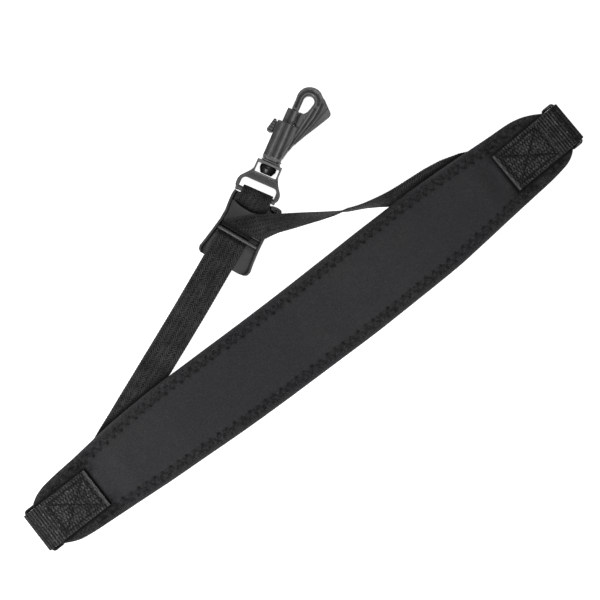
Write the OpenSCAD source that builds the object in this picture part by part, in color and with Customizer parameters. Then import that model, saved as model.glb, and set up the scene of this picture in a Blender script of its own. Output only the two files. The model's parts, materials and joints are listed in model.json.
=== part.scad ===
// Saxophone neck strap: a padded neck band with a web tab and a rectangular
// ring at each end, one narrow web that runs from ring to ring, a moulded
// slide adjuster on the web, and a swivel snap hook on the web's loop.
// It lies on a flat surface at z = 0, with the band's ends resting on the
// two legs of the web. +X runs along the band, +Y from the band to the hook.

/* [Neck band] */
// Length of the padded band
band_length = 374; // [360:1:380]
// Thickness of the band along its middle
band_thickness = 6.4; // [5.5:0.1:7.5]
// Thickness of the band at its sewn rim and at its ends
rim_thickness = 3.3; // [2.8:0.1:3.6]
// Thickness of the face fabric on the front
front_skin = 0.9; // [0.6:0.1:1.1]
// Thickness of the non-slip fabric on the back
back_skin = 0.8; // [0.6:0.1:1.0]
// Distance between the points of the zigzag seam
seam_pitch = 5.5; // [5:0.5:8]

/* [Web] */
// Width of the narrow web
web_width = 18.6; // [17:0.1:18.8]
// Thickness of the narrow web
web_thick = 1.2; // [1:0.05:1.2]
// Width of the wide web of the two end tabs
tab_width = 25.2; // [23:0.1:25.4]
// Thickness of the wide web
tab_thick = 1.25; // [1:0.05:1.25]

/* [Rings] */
// Diameter of the ring's bar
ring_bar = 2; // [1.8:0.1:2]
// Width of the ring across its side bars, centre to centre
ring_width = 27.2; // [26.8:0.1:28]

/* [Slide adjuster] */
// Height of the two side flanges
flange_height = 6.8; // [6.2:0.1:7.2]
// Thickness of the side flanges
flange_thick = 1.6; // [1.3:0.1:1.8]
// Thickness of the base plate under the web
lip_thick = 1.6; // [1.2:0.1:1.6]

/* [Swivel] */
// Diameter of the stud's shank in the swivel frame
shank_d = 4.8; // [4:0.1:5]
// Radial running clearance of the shank in the frame
shank_gap = 0.06; // [0.02:0.01:0.1]
// Diameter of the bar that the web loops around
loop_bar = 3; // [2.6:0.1:3]

/* [Snap hook] */
// Thickness of the hook at its barrel
barrel_thick = 9.6; // [9:0.1:9.6]
// Thickness of the hook at its nose and fin
nose_thick = 7.6; // [6.4:0.1:8.4]
// Inner radius of the nose, where the instrument's ring sits
eye_r = 3.25; // [3:0.05:3.4]
// Sliding clearance around the gate
gate_gap = 0.3; // [0.2:0.05:0.4]

/* [Hidden] */

// the band's middle lies off the middle of the whole strap
shift = [-0.24, -39.88, 0];
module place() { translate(shift) children(); }

hl = band_length / 2;
axis_z = 4.8;                                  // height of the swivel axis and of the loop bar
web_z = axis_z - loop_bar / 2 - 0.25 - web_thick / 2;  // middle of the lower layer of web
upper_z = web_z + web_thick + 0.1;             // middle of the layer on top of it, in the adjuster

// slide adjuster: its place, and the direction of the left leg
sl_o = [0.75, 64.0, 0];
sl_a = 22.3;
sl_x = -2.2;                                   // the web runs a little left of the adjuster's middle
// hook: foot of its collar on the swivel axis, and the axis' direction
hk_o = [42.15, 85.7, 0];
hk_a = 28.8;
bar_y = -19.3;                                 // the loop bar, along the hook's own axis

module on_slider() { translate(sl_o) rotate([0, 0, sl_a - 90]) children(); }
module on_hook() { translate(hk_o) rotate([0, 0, hk_a - 90]) children(); }
function slider_pt(p) = sl_o + [p[0] * sin(sl_a) + p[1] * cos(sl_a), -p[0] * cos(sl_a) + p[1] * sin(sl_a), p[2]];
function hook_pt(p) = hk_o + [p[0] * sin(hk_a) + p[1] * cos(hk_a), -p[0] * cos(hk_a) + p[1] * sin(hk_a), p[2]];
slider_right = [sin(sl_a), -cos(sl_a), 0];
hook_right = [sin(hk_a), -cos(hk_a), 0];

// ---------- curves and sweeps ----------
function ease(t) = let (u = max(0, min(1, t))) u * u * (3 - 2 * u);
function unit(v) = v / norm(v);
function cr(a, b, c, d, t) = 0.5 * (2 * b + (c - a) * t + (2 * a - 5 * b + 4 * c - d) * t * t + (3 * b - a - 3 * c + d) * t * t * t);
function smooth(p, n) = concat([for (i = [0 : len(p) - 2], k = [0 : n - 1])
    cr(p[max(i - 1, 0)], p[i], p[i + 1], p[min(i + 2, len(p) - 1)], k / n)], [p[len(p) - 1]]);
function tangent(p, i) = unit(p[min(i + 1, len(p) - 1)] - p[max(i - 1, 0)]);

// closed tube of flat rings, all with the same number of points
module loft(rings) {
    n = len(rings[0]);
    m = len(rings);
    polyhedron(
        points = [for (r = rings, p = r) p],
        faces = concat(
            [for (i = [0 : m - 2], k = [0 : n - 1]) let (a = i * n + k, b = a + n, c = i * n + (k + 1) % n, d = c + n)
                each (k < n / 2 ? [[a, b, c], [b, d, c]] : [[a, b, d], [a, d, c]])],
            [for (k = [0 : n / 2 - 2]) [k, k + 1, n - 2 - k, n - 1 - k]],
            [for (k = [0 : n / 2 - 2]) [n - 1 - k, n - 2 - k, k + 1, k] + [1, 1, 1, 1] * (m - 1) * n]));
}

// a flat web, w wide and t thick, along the points p, with its width along the vectors s
module web(p, s, w, t) {
    loft([for (i = [0 : len(p) - 1]) let (
        a = tangent(p, i), b = unit(s[i]), c = unit(cross(b, a)))
        [p[i] - b * w / 2 - c * t / 2, p[i] - b * w / 2 + c * t / 2,
         p[i] + b * w / 2 + c * t / 2, p[i] + b * w / 2 - c * t / 2]]);
}
// width vectors that lie flat, to the right of the path, rolled up by the angles r
function flat_sides(p, r) = [for (i = [0 : len(p) - 1]) let (a = tangent(p, i), f = unit([a[1], -a[0], 0])) f * cos(r[i]) + [0, 0, sin(r[i])]];
function same(v, n) = [for (i = [1 : n]) v];

// ---------- neck band ----------
// the two long edges of the band, from end to end: place along the band, distance from its line
upper_edge = [[-187, 8], [-186.6, 11], [-185.4, 13.6], [-183, 15.6], [-179, 17.6], [-174, 19], [-166, 20], [-150, 21.2], [-135, 22.7],
              [-112, 24.4], [-90, 25], [-60, 24.7], [-30, 24.2], [0, 24], [30, 24.2], [60, 24.5], [90, 24.4], [112, 23.6], [135, 22.2],
              [150, 21.2], [164, 20.4], [171, 19], [177, 16.6], [182, 13.8], [185.4, 11.6], [186.6, 9.6], [187, 7]];
lower_edge = [[-187, -8], [-186.6, -11], [-185.4, -13.4], [-183, -15], [-179, -17], [-174, -18.7], [-166, -19.8], [-150, -21], [-135, -22.1],
              [-112, -23.8], [-90, -25], [-60, -26.6], [-30, -27.6], [0, -28.1], [30, -28.5], [60, -28], [90, -27.3], [112, -25.6], [135, -23.5],
              [150, -22.2], [164, -21], [171, -20], [177, -18.8], [182, -16.4], [185.4, -13], [186.6, -10.6], [187, -8]];
function on_edge(e, x) = lookup(x * 374 / band_length, e);
// the band's underside lies on the surface in the middle, and on the legs and rings at its ends
function under(x) = let (a = abs(x)) 4.4 * ease((a - 14) / 60) + 0.6 * ease((a - 120) / 26) + 1.1 * ease((a - 150) / 34);
function thick(x, v) = let (m = band_thickness - (band_thickness - rim_thickness) * ease((abs(x) - 128) / 14))
    rim_thickness + (m - rim_thickness) * (1 - pow(abs(v), 3));
function over(x, v) = under(x) + thick(x, v);
function at_v(x, v) = let (u = on_edge(upper_edge, x), l = on_edge(lower_edge, x)) (u + l) / 2 + v * (u - l) / 2;
stations = [for (e = upper_edge) e[0] * band_length / 374];
mids = [for (i = [0 : len(stations) - 2]) let (g = stations[i + 1] - stations[i], n = g > 18 ? 3 : g > 9 ? 2 : 1)
    each [for (k = [0 : n - 1]) stations[i] + g * k / n]];
xs = concat(mids, [stations[len(stations) - 1]]);
vs = [-1, -0.86, -0.6, -0.2, 0.2, 0.6, 0.86, 1];

// a layer of the band between two heights, taken from its underside (u) or its top (o)
function height(x, v, from_top, d) = from_top ? over(x, v) - d : under(x) + d;
module layer(low_from_top, low, high_from_top, high) {
    loft([for (x = xs) concat(
        [for (v = vs) [x, at_v(x, v), height(x, v, low_from_top, low)]],
        [for (k = [len(vs) - 1 : -1 : 0]) [x, at_v(x, vs[k]), height(x, vs[k], high_from_top, high)]])]);
}
module pad_front_panel() { color([0.2, 0.2, 0.21]) layer(true, front_skin, true, 0); }
module pad_foam_core() { color([0.12, 0.12, 0.13]) layer(false, back_skin, true, front_skin); }
module pad_back_panel() { color([0.16, 0.16, 0.17]) layer(false, 0, false, back_skin); }

// zigzag seam a few millimetres in from each long edge
module seam(e, dir) {
    n = floor(2 * 156 / (seam_pitch / 2));
    p = [for (i = [0 : n]) let (x = -156 + i * seam_pitch / 2, y = on_edge(e, x) - dir * (i % 2 == 0 ? 4 : 7),
        u = on_edge(upper_edge, x), l = on_edge(lower_edge, x), v = (2 * y - u - l) / (u - l)) [x, y, over(x, v) + 0.5]];
    web(p, same([0, 1, 0], len(p)), 1.3, 0.35);
}
module edge_seam_thread() { color([0.08, 0.08, 0.09]) { seam(upper_edge, 1); seam(lower_edge, -1); } }

// ---------- end rings, tabs and their threads: made for the right end, mirrored for the left ----------
in_bar = [185, 2.3];       // ring's inner bar: distance from the band's middle, and height
out_bar = [191.2, 6.6];    // ring's outer bar, in the fold of the tab
right_turned = 2.2;        // the right tab and its ring sit turned by this angle
module end_of(left) { if (left) mirror([1, 0, 0]) translate([0, -0.4, 0]) children(); else translate([184, -0.1, 0]) rotate([0, 0, right_turned]) translate([-184, 0, 0]) children(); }

module ring(left) {
    r = ring_bar / 2;
    d = out_bar - in_bar;
    l = norm(d);
    c = 1.3;                // corner radius of the bar's centre line
    end_of(left) translate([in_bar[0], 0, in_bar[1]]) rotate([0, -atan2(d[1], d[0]), 0]) {
        for (x = [0, l]) translate([x, -ring_width / 2 + c, 0]) rotate([-90, 0, 0]) cylinder(r = r, h = ring_width - 2 * c, $fn = 32);
        for (y = [-1, 1]) translate([c, y * ring_width / 2, 0]) rotate([0, 90, 0]) cylinder(r = r, h = l - 2 * c, $fn = 32);
        for (x = [0, 1], y = [0, 1]) translate([x == 0 ? c : l - c, y == 0 ? -ring_width / 2 + c : ring_width / 2 - c, 0])
            rotate([0, 0, x == 0 ? (y == 0 ? 180 : 90) : (y == 0 ? 270 : 0)]) rotate_extrude(angle = 90, $fn = 48) translate([c, 0]) circle(r = r, $fn = 32);
    }
}
module left_ring() { color([0.05, 0.05, 0.05]) ring(true); }
module right_ring() { color([0.05, 0.05, 0.05]) ring(false); }

// the tab: over the band's end, round the ring's outer bar, and back under the band
module tab(inner) {
    h = tab_thick / 2 + 0.15;
    r = ring_bar / 2 + 0.15 + tab_thick / 2;
    p = concat(
        [for (x = [inner : 4 : 184.5]) [x, 0, over(x, 0) + h + (x > 182 ? 0 : 0)]],
        [[186.4, 0, over(187, 0) + h], [188.4, 0, over(187, 0) + h - 0.4]],
        [for (a = [55 : -15 : -90]) [out_bar[0] + r * cos(a), 0, out_bar[1] + r * sin(a)]],
        [[189, 0, under(187) - h - 0.35], [186.6, 0, under(187) - h]],
        [for (x = [183 : -5 : inner + 4]) [x, 0, under(x) - h]]);
    web(p, same([0, 1, 0], len(p)), tab_width, tab_thick);
}
module left_tab() { color([0.1, 0.1, 0.1]) end_of(true) tab(149.5); }
module right_tab() { color([0.1, 0.1, 0.1]) end_of(false) tab(145.5); }

// sewn box with a cross inside it
module stitches(q) {
    n = 8;
    p = [for (i = [0 : len(q) - 2], k = [0 : n - 1]) let (c = q[i] + (q[i + 1] - q[i]) * k / n) [c[0], c[1], over(c[0], 0) + tab_thick + 0.5]];
    e = concat(p, [[q[len(q) - 1][0], q[len(q) - 1][1], over(q[len(q) - 1][0], 0) + tab_thick + 0.5]]);
    f = unit(q[len(q) - 1] - q[0]);
    web(e, same([-f[1], f[0], 0], len(e)), 0.7, 0.35);
}
module box_stitch(a, b) {
    g = 0.9;
    y = tab_width / 2 - 2.8;
    for (s = [-1, 1]) stitches([[a, s * y], [b, s * y]]);
    for (x = [a, b]) stitches([[x, -y + g], [x, y - g]]);
    stitches([[a + g, -y + g], [b - g, y - g]]);
    m = (a + b) / 2;
    stitches([[a + g, y - g], [m - 1.2, 1]]);
    stitches([[m + 1.2, -1], [b - g, -y + g]]);
}
module left_tab_thread() { color([0.06, 0.06, 0.06]) end_of(true) box_stitch(153, 178.5); }
module right_tab_thread() { color([0.06, 0.06, 0.06]) end_of(false) box_stitch(149, 175); }

// ---------- the narrow web ----------
loop_r = ring_bar / 2 + 0.1 + web_thick / 2;
low_z = in_bar[1] - loop_r;
// left leg: tail, round the ring's inner bar, under the band and straight on through the adjuster to the loop bar
left_far = [-in_bar[0], -0.6, in_bar[1]];
left_tail = [for (x = [0 : 4]) left_far + [24 - 4.5 * x, 0, x < 3 ? -0.1 : x == 3 ? 0.45 : 1.3]];
left_turn = [for (a = [90 : 15 : 270]) left_far + [loop_r * cos(a), 0, loop_r * sin(a)]];
left_run = smooth([left_far + [3, 0, -loop_r], left_far + [10, 0, 0.1 - loop_r], [-160, 1.6, 0.95], [-148, 6.7, 2.0], [-138, 11.3, web_z],
                   [-126, 16.5, web_z]], 3);
left_bow = [[-125, 1.6], [-112, 1.4], [-100, 1.1], [-87, 0.85], [-75, 0.55], [-62, 0.3], [-50, 0.1], [-25, 0], [0, 0], [18, 0]];   // it lies in a slight bow
left_line = [for (b = left_bow) slider_pt([sl_x - b[1], b[0], web_z])];
left_end = [hook_pt([0.1, bar_y - 5, web_z]), hook_pt([0.1, bar_y - 0.4, web_z])];
module strap_left_leg() {
    a = concat(left_tail, left_turn);
    b = concat(left_run, left_line, left_end);
    s = concat(same([0, -1, 0], len(a) + 1), [for (i = [1 : len(left_run) - 1]) flat_sides(b, same(0, len(b)))[i]],
               same(slider_right, len(left_line)), [unit(slider_right + hook_right), hook_right]);
    color([0.13, 0.13, 0.14]) web(concat(a, b), s, web_width, web_thick);
}

// loop: round the bar of the swivel frame, back through the adjuster under its plate, and up round the plate's edge
bar_loop_r = loop_bar / 2 + 0.25 + web_thick / 2;
edge_y = 4.6;               // the plate's edge that the web turns over
plate_low = upper_z + web_thick / 2 + 0.2;
plate_thick = 1.2;
over_plate = plate_low + plate_thick + 0.2 + web_thick / 2;
turn_r = (over_plate - upper_z) / 2;
bar_turn = [hook_pt([0.1, bar_y - 0.35, web_z]), for (a = [-90 : 15 : 90]) hook_pt([0.1, bar_y + bar_loop_r * cos(a), axis_z + bar_loop_r * sin(a)])];
back_run = [hook_pt([0.1, bar_y - 2.2, axis_z + bar_loop_r - 0.5]), slider_pt([sl_x + 0.1, 23.2, upper_z + 1.25]),
            slider_pt([sl_x, 20.8, upper_z + 0.1]), slider_pt([sl_x, 17.6, upper_z]), slider_pt([sl_x, 9, upper_z]), slider_pt([sl_x, edge_y, upper_z])];
edge_turn = [for (a = [-90 : -20 : -270]) slider_pt([sl_x, edge_y + turn_r * cos(a), (upper_z + over_plate) / 2 + turn_r * sin(a)])];
module strap_hook_loop() {
    p = concat(bar_turn, back_run, [for (i = [1 : len(edge_turn) - 1]) edge_turn[i]]);
    s = concat(same(hook_right, len(bar_turn) + 1), [unit(slider_right + hook_right)], same(slider_right, 4 + len(edge_turn) - 1));
    color([0.13, 0.13, 0.14]) web(p, s, web_width, web_thick);
}

// right leg: over the adjuster's right flange, up on its edge and over to its other face, then under the band to the ring.
// each point: x, y, height, roll
right_path = [[8.2, 66.4, 7.1, 0], [14, 62, 8.6, 8], [21, 58, 11.8, 24], [29.5, 53.8, 13.8, 46], [43, 46.6, 11.6, 70], [54, 41, 10.3, 84], [62, 37.2, 10.1, 94],
              [70, 33.4, 9.6, 112], [76.5, 29.6, 6.2, 146], [83, 25.6, 3.1, 168], [91, 22.4, 2.45, 176], [105, 20.3, 2.3, 180], [122, 17.6, 2.3, 180],
              [136, 13.2, 2.3, 180], [150, 8.2, 1.9, 180], [162, 3.9, 0.95, 180], [172, 1.4, 0.75, 180]];
function right_pt(x, z) = [184 + (x - 184) * cos(right_turned), -0.1 + (x - 184) * sin(right_turned), z];
right_side_v = [-sin(right_turned), cos(right_turned), 0];
right_in = [right_pt(in_bar[0] - 6, in_bar[1] + 0.05 - loop_r), right_pt(in_bar[0] - 2.5, in_bar[1] - loop_r)];
right_turn = [for (a = [-90 : 15 : 90]) right_pt(in_bar[0] + loop_r * cos(a), in_bar[1] + loop_r * sin(a))];
right_tail = [for (x = [4 : -1 : 0]) right_pt(in_bar[0] - 24 + 4.5 * x, in_bar[1] + (x < 3 ? -0.1 : x == 3 ? 0.45 : 1.3))];
module strap_right_leg() {
    first = [for (i = [0 : 1]) let (e = edge_turn[len(edge_turn) - 1]) e + (slider_pt([0, 1, 0]) - slider_pt([0, 0, 0])) * i * 1.5];
    q = smooth(right_path, 3);
    p = concat(first, [for (i = [0 : len(q) - 1]) [q[i][0], q[i][1], q[i][2]]], right_in, right_turn, right_tail);
    f = flat_sides(p, concat([0, 0], [for (i = [0 : len(q) - 1]) q[i][3]], same(180, 2 + len(right_turn) + len(right_tail))));
    s = concat([slider_right, slider_right], [for (i = [2 : len(q) + 1]) f[i]], same(right_side_v, 2 + len(right_turn) + len(right_tail)));
    color([0.13, 0.13, 0.14]) web(p, s, web_width, web_thick);
}

// rows of thread that close each leg's end loop
module leg_end_bartacks() {
    color([0.06, 0.06, 0.06]) for (x = [-left_far[0] - 17, -left_far[0] - 12.5], s = [-1, 1])
        translate([s * x, -0.5, in_bar[1] - 0.1 + web_thick / 2 + (x > 170 ? 0.4 : 0.05)]) translate([-0.6, -7, 0]) cube([1.2, 14, 0.3]);
}

// ---------- slide adjuster ----------
left_side = [[-14, -17.3], [-15.6, -16], [-16.2, -14], [-15.5, -10], [-14.6, -3], [-13.7, 5], [-13.7, 11], [-14.5, 16], [-15, 20.5], [-14.85, 24.1]];
right_side = [[14.6, -16.8], [16.4, -15.6], [17, -13.2], [16, -8], [15, 0], [14.5, 7], [14.2, 12], [14.3, 18], [14.4, 24.2], [13.6, 25]];
function out(p, d) = [for (q = p) q + [d, 0]];
function back(p) = [for (i = [len(p) - 1 : -1 : 0]) p[i]];
module slide_adjuster() {
    color([0.22, 0.22, 0.23]) on_slider() {
        // side flanges
        linear_extrude(flange_height) polygon(concat(left_side, back(out(left_side, flange_thick))));
        linear_extrude(flange_height) polygon(concat(right_side, back(out(right_side, -flange_thick))));
        // base plate under the left leg, from the lip to the far end
        linear_extrude(lip_thick) polygon([[-15.2, -15.8], [-14, -17.3], [11, -17.4], [14.6, -16.8], [16, -15], [14.8, -1.6], [14, 7], [13.9, 12], [13.9, 18],
                                           [14.4, 24.2], [13.4, 26], [7, 26], [0, 25.3], [-8, 24.6], [-14.4, 24], [-14.2, 16], [-13.2, 11], [-13.2, 5], [-14, -2], [-15, -10]]);
        // rounded head at the right flange's end
        linear_extrude(5.2) polygon([[15.3, 23.8], [15.5, 25.2], [15, 26.5], [13.8, 26.9], [12.2, 27], [10.6, 26.8], [9.3, 26.5], [8.5, 26.2], [8.5, 25], [9.2, 24], [12.6, 23.4]]);
        // cross bar over the left leg
        translate([-13.4, -0.2, web_z + web_thick / 2 + 0.3]) cube([27.4, 2.2, 2]);
        // plate between the two layers of web and the right leg
        translate([0, 0, plate_low]) linear_extrude(plate_thick)
            polygon([[-13, edge_y], [13.6, edge_y], [13.3, 12], [13.4, 23.6], [12, 23.4], [8, 20.4], [4, 18.2], [-1, 17.2], [-7, 17.4], [-13.6, 19]]);
    }
}

// ---------- swivel frame and stud ----------
module swivel_frame() {
    loop_t = 3.2;
    color([0.2, 0.2, 0.21]) on_hook() difference() {
        union() {
            // loop for the web, open behind its bar
            translate([0, 0, axis_z - loop_t / 2]) linear_extrude(loop_t) difference() {
                polygon([[-7.7, -5], [-8.6, -7], [-10, -8.8], [-11.6, -10.6], [-13.2, -12.4], [-14, -14.6], [-14, -17], [-13.8, -18.4], [-13.1, -19.3],
                         [11.5, -19.3], [12.4, -18.5], [12.7, -17], [12.7, -15], [11.9, -13.2], [10.4, -11.2], [9, -9], [8, -7], [7.4, -5]]);
                hull() { translate([-9.1, -14.6]) circle(r = 2.5, $fn = 48); translate([7.5, -14.6]) circle(r = 2.5, $fn = 48);
                         translate([-11.6, -19.4]) square([21.7, 0.4]); }
            }
            // bar that the web loops around, and the ends of the arms
            translate([-12, bar_y, axis_z]) rotate([0, 90, 0]) cylinder(d = loop_bar, h = 22.6, $fn = 64);
            for (x = [[-13.2, 1.6], [10.2, 1.4]]) translate([x[0], bar_y, axis_z]) rotate([0, 90, 0]) cylinder(d = loop_t, h = x[1], $fn = 64);
            // yoke that holds the stud
            translate([-7.7, -8.2, axis_z - 3.4]) cube([15.1, 8.2, 6.8]);
            translate([-7.7, -1.3, axis_z - 4.4]) cube([15.1, 1.75, 8.8]);
        }
        translate([-6.8, -7, axis_z - 6]) cube([13.3, 5.7, 12]);
        translate([0, -3, axis_z]) rotate([-90, 0, 0]) cylinder(d = shank_d + 2 * shank_gap, h = 6, $fn = 64);
    }
}
module swivel_stud() {
    color([0.03, 0.03, 0.03]) on_hook() translate([0, 0, axis_z]) rotate([-90, 0, 0]) {
        translate([0, 0, -6.5]) cylinder(r1 = 3.5, r2 = 4.9, h = 2.6, $fn = 64);
        translate([0, 0, -3.91]) cylinder(r = 4.9, h = 2.41, $fn = 64);
        translate([0, 0, -1.6]) cylinder(d = shank_d, h = 6.4, $fn = 64);
    }
}

// ---------- snap hook ----------
gate_top = 34;
travel = 7;
hook_outline = [[-5.8, 3], [5.2, 3], [5.1, 4.5], [5.6, 6], [6.5, 10], [7.4, 12.5], [8, 14.5], [10, 18.5], [12, 22.5], [14.5, 27], [17, 31.5],
                [20.4, 38], [20.8, 39.4], [20.2, 40.6], [14.4, 46], [13, 46.8], [10.6, 49], [8.6, 49.9], [6.4, 50.1], [4.4, 49.8], [2.2, 48.9], [0.4, 47.4],
                [-0.9, 45.2], [-1.4, 42.8], [-1.2, 40], [-1.2, gate_top + 0.3], [3.85, gate_top + 0.3], [3.85, 25.3], [-5.3, 25.3], [-5.8, 24.8]];
module slab(t) { translate([0, 0, axis_z - t / 2]) linear_extrude(t) children(); }
module hook_body() {
    color([0.24, 0.24, 0.25]) on_hook() {
        difference() {
            union() {
                // collar round the stud's shank
                intersection() {
                    translate([0, 0.75, axis_z]) rotate([-90, 0, 0]) cylinder(r = 5.9, h = 2.4, $fn = 64);
                    translate([-7, 0, axis_z - barrel_thick / 2]) cube([14, 4, barrel_thick]);
                }
                slab(nose_thick) polygon(hook_outline);
                // barrel that holds the gate and its spring
                slab(barrel_thick) polygon([[-5.8, 3], [5.2, 3], [5.1, 4.5], [5.6, 6], [6.4, 10], [6.8, 16], [6.6, 25.3], [-5.3, 25.3], [-5.8, 24.8]]);
            }
            // eye for the instrument's ring
            translate([eye_r + 2.9, 41.6, 0]) cylinder(r = eye_r, h = 12, $fn = 96);
            slab(12) polygon([[2.9, 41.6], [2 * eye_r + 2.9, 41.6], [2 * eye_r + 2.2, 38.4], [7.8, 35.8], [6.3, 33.9], [2.9, 33.9]]);
            // bore for the shank, channel for the gate, slot for the thumb tab
            translate([0, 0, axis_z]) rotate([-90, 0, 0]) cylinder(d = shank_d + 0.1, h = 4.9, $fn = 64);
            translate([-3.4 - gate_gap, 5.2, axis_z - 2.4 - gate_gap]) cube([6.9 + 2 * gate_gap, 30, 4.8 + 2 * gate_gap]);
            translate([-8, 9.2, axis_z - 1.4]) cube([6, 30, 2.8]);
        }
        // nose above the gate, and the tongue that seats in the gate
        slab(nose_thick) polygon([[-1.2, gate_top + 0.3], [2.9, gate_top + 0.3], [2.9, 36], [-1.2, 36]]);
        translate([-0.5, 31.8, axis_z - 1.3]) cube([1.5, 3.4, 2.6]);
    }
}
module gate() {
    color([0.27, 0.27, 0.28]) on_hook() difference() {
        union() {
            translate([-3.4, 16, axis_z - 2.4]) cube([6.9, gate_top - 16, 4.8]);
            // stem and thumb tab
            translate([-6.6, 17.4, axis_z - 1.1]) cube([4, 6.6, 2.2]);
            slab(5) polygon([[-9.4, 16.9], [-8, 16.5], [-6.3, 16.8], [-6.2, 24], [-6.8, 25.1], [-8.2, 25.2], [-9.9, 18]]);
        }
        translate([-0.8, 31.2, axis_z - 1.6]) cube([2.1, 4, 3.2]);
    }
}
// compression spring between the barrel's floor and the gate
module gate_spring() {
    turns = 6;
    n = 12;
    wire = 0.25;
    r = 1.9;
    p = [for (i = [0 : turns * n]) [0.05 + r * cos(360 * i / n), 5.5 + 10.2 * i / (turns * n), axis_z + r * sin(360 * i / n)]];
    color([0.75, 0.75, 0.77]) on_hook() loft([for (i = [0 : len(p) - 1]) let (
        out = unit([p[i][0] - 0.05, 0, p[i][2] - axis_z]), a = tangent(p, i), c = unit(cross(a, out)))
        [for (k = [0 : 5]) p[i] + wire * (out * cos(60 * k) + c * sin(60 * k))]]);
}

place() pad_front_panel();
place() pad_foam_core();
place() pad_back_panel();
place() edge_seam_thread();
place() left_tab();
place() right_tab();
place() left_tab_thread();
place() right_tab_thread();
place() left_ring();
place() right_ring();
place() strap_left_leg();
place() strap_right_leg();
place() strap_hook_loop();
place() leg_end_bartacks();
place() slide_adjuster();
place() swivel_frame();
place() swivel_stud();
place() hook_body();
place() gate();
place() gate_spring();
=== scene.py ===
import json
import math

import bmesh
import bpy
import numpy as np
from mathutils import Matrix, Vector


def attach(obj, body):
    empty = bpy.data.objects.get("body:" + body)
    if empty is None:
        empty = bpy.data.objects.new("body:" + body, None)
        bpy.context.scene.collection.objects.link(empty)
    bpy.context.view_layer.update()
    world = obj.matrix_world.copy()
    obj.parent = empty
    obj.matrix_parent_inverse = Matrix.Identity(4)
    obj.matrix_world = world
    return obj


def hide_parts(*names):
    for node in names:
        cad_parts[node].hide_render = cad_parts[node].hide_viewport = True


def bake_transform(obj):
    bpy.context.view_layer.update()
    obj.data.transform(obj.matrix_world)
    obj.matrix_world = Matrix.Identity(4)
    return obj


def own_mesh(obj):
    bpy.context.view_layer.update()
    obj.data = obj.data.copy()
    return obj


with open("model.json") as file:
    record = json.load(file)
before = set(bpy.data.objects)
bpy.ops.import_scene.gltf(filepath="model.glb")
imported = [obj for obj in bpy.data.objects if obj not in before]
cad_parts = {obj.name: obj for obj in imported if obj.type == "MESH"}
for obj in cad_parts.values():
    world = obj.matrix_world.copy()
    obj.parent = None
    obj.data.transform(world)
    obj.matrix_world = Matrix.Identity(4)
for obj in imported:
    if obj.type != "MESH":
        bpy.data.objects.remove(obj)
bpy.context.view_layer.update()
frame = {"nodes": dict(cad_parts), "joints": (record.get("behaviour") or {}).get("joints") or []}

# ------------------------------------------------------------------ places
# All shapes are made in millimetres in the strap's own frame and moved by `shift` into the row frame.
joints = {j["name"]: j for j in frame["joints"]}
HK_O, HK_A, AXIS_Z = (42.15, 85.7), math.radians(28.8), 4.8
SL_O, SL_A = (0.75, 64.0), math.radians(22.3)
shift = np.array(joints["hook_swivel"]["pos_m"]) * 1000 - np.array([HK_O[0], HK_O[1], AXIS_Z])


def metres(p):
    return (np.asarray(p, float) + shift) / 1000


def frame_pt(o, a, x, y, z):
    x, y, z = np.broadcast_arrays(np.asarray(x, float), y, z)
    return np.stack([o[0] + x * math.sin(a) + y * math.cos(a), o[1] - x * math.cos(a) + y * math.sin(a), z + 0.0], -1)


def slider_pt(x, y, z):
    return frame_pt(SL_O, SL_A, x, y, z)


def hook_pt(x, y, z):
    return frame_pt(HK_O, HK_A, x, y, z)


def local(co_m, o, a):
    """Metres in the row frame to millimetres in the slider's or hook's own frame."""
    p = np.asarray(co_m) * 1000 - shift
    dx, dy = p[:, 0] - o[0], p[:, 1] - o[1]
    return np.stack([dx * math.sin(a) - dy * math.cos(a), dx * math.cos(a) + dy * math.sin(a), p[:, 2]], -1)


slider_right = np.array([math.sin(SL_A), -math.cos(SL_A), 0])
hook_right = np.array([math.sin(HK_A), -math.cos(HK_A), 0])


# ------------------------------------------------------------------ camera
cam_data = bpy.data.cameras.new("camera")
cam = bpy.data.objects.new("camera", cam_data)
bpy.context.scene.collection.objects.link(cam)
bpy.context.scene.camera = cam
CAM_H = 1.3
cam.location = (metres([8.0, 13.4, 0])[0], metres([8.0, 13.4, 0])[1], CAM_H + 0.004)
cam.rotation_euler = (0, 0, math.radians(-37.7))
cam_data.sensor_width = 36
cam_data.lens = 36 * CAM_H / 0.345
cam_data.clip_end = 30


# ------------------------------------------------------------------ small tools
def ease(t):
    u = np.clip(t, 0, 1)
    return u * u * (3 - 2 * u)


def unit(v):
    return v / np.maximum(np.linalg.norm(v, axis=-1, keepdims=True), 1e-12)


def pchip(t, p, q):
    """Smooth curve through the points p at t, without overshoot, read at q."""
    p = np.asarray(p, float)
    if p.ndim == 1:
        return pchip(t, p[:, None], q)[:, 0]
    h = np.diff(t)[:, None]
    d = np.diff(p, axis=0) / h
    m = np.zeros_like(p)
    w1, w2 = 2 * h[1:] + h[:-1], h[1:] + 2 * h[:-1]
    same = d[:-1] * d[1:] > 0
    with np.errstate(divide="ignore", invalid="ignore"):
        hm = (w1 + w2) / (w1 / d[:-1] + w2 / d[1:])
    m[1:-1] = np.where(same, hm, 0)
    m[0], m[-1] = d[0], d[-1]
    i = np.clip(np.searchsorted(t, q, side="right") - 1, 0, len(t) - 2)
    s = ((q - np.asarray(t)[i]) / np.diff(t)[i])[:, None]
    hh = np.diff(t)[i][:, None]
    return (p[i] * (1 + 2 * s) * (1 - s) ** 2 + m[i] * hh * s * (1 - s) ** 2
            + p[i + 1] * s * s * (3 - 2 * s) + m[i + 1] * hh * s * s * (s - 1))


def along(p):
    return np.concatenate([[0], np.cumsum(np.linalg.norm(np.diff(p, axis=0), axis=1))])


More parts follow.
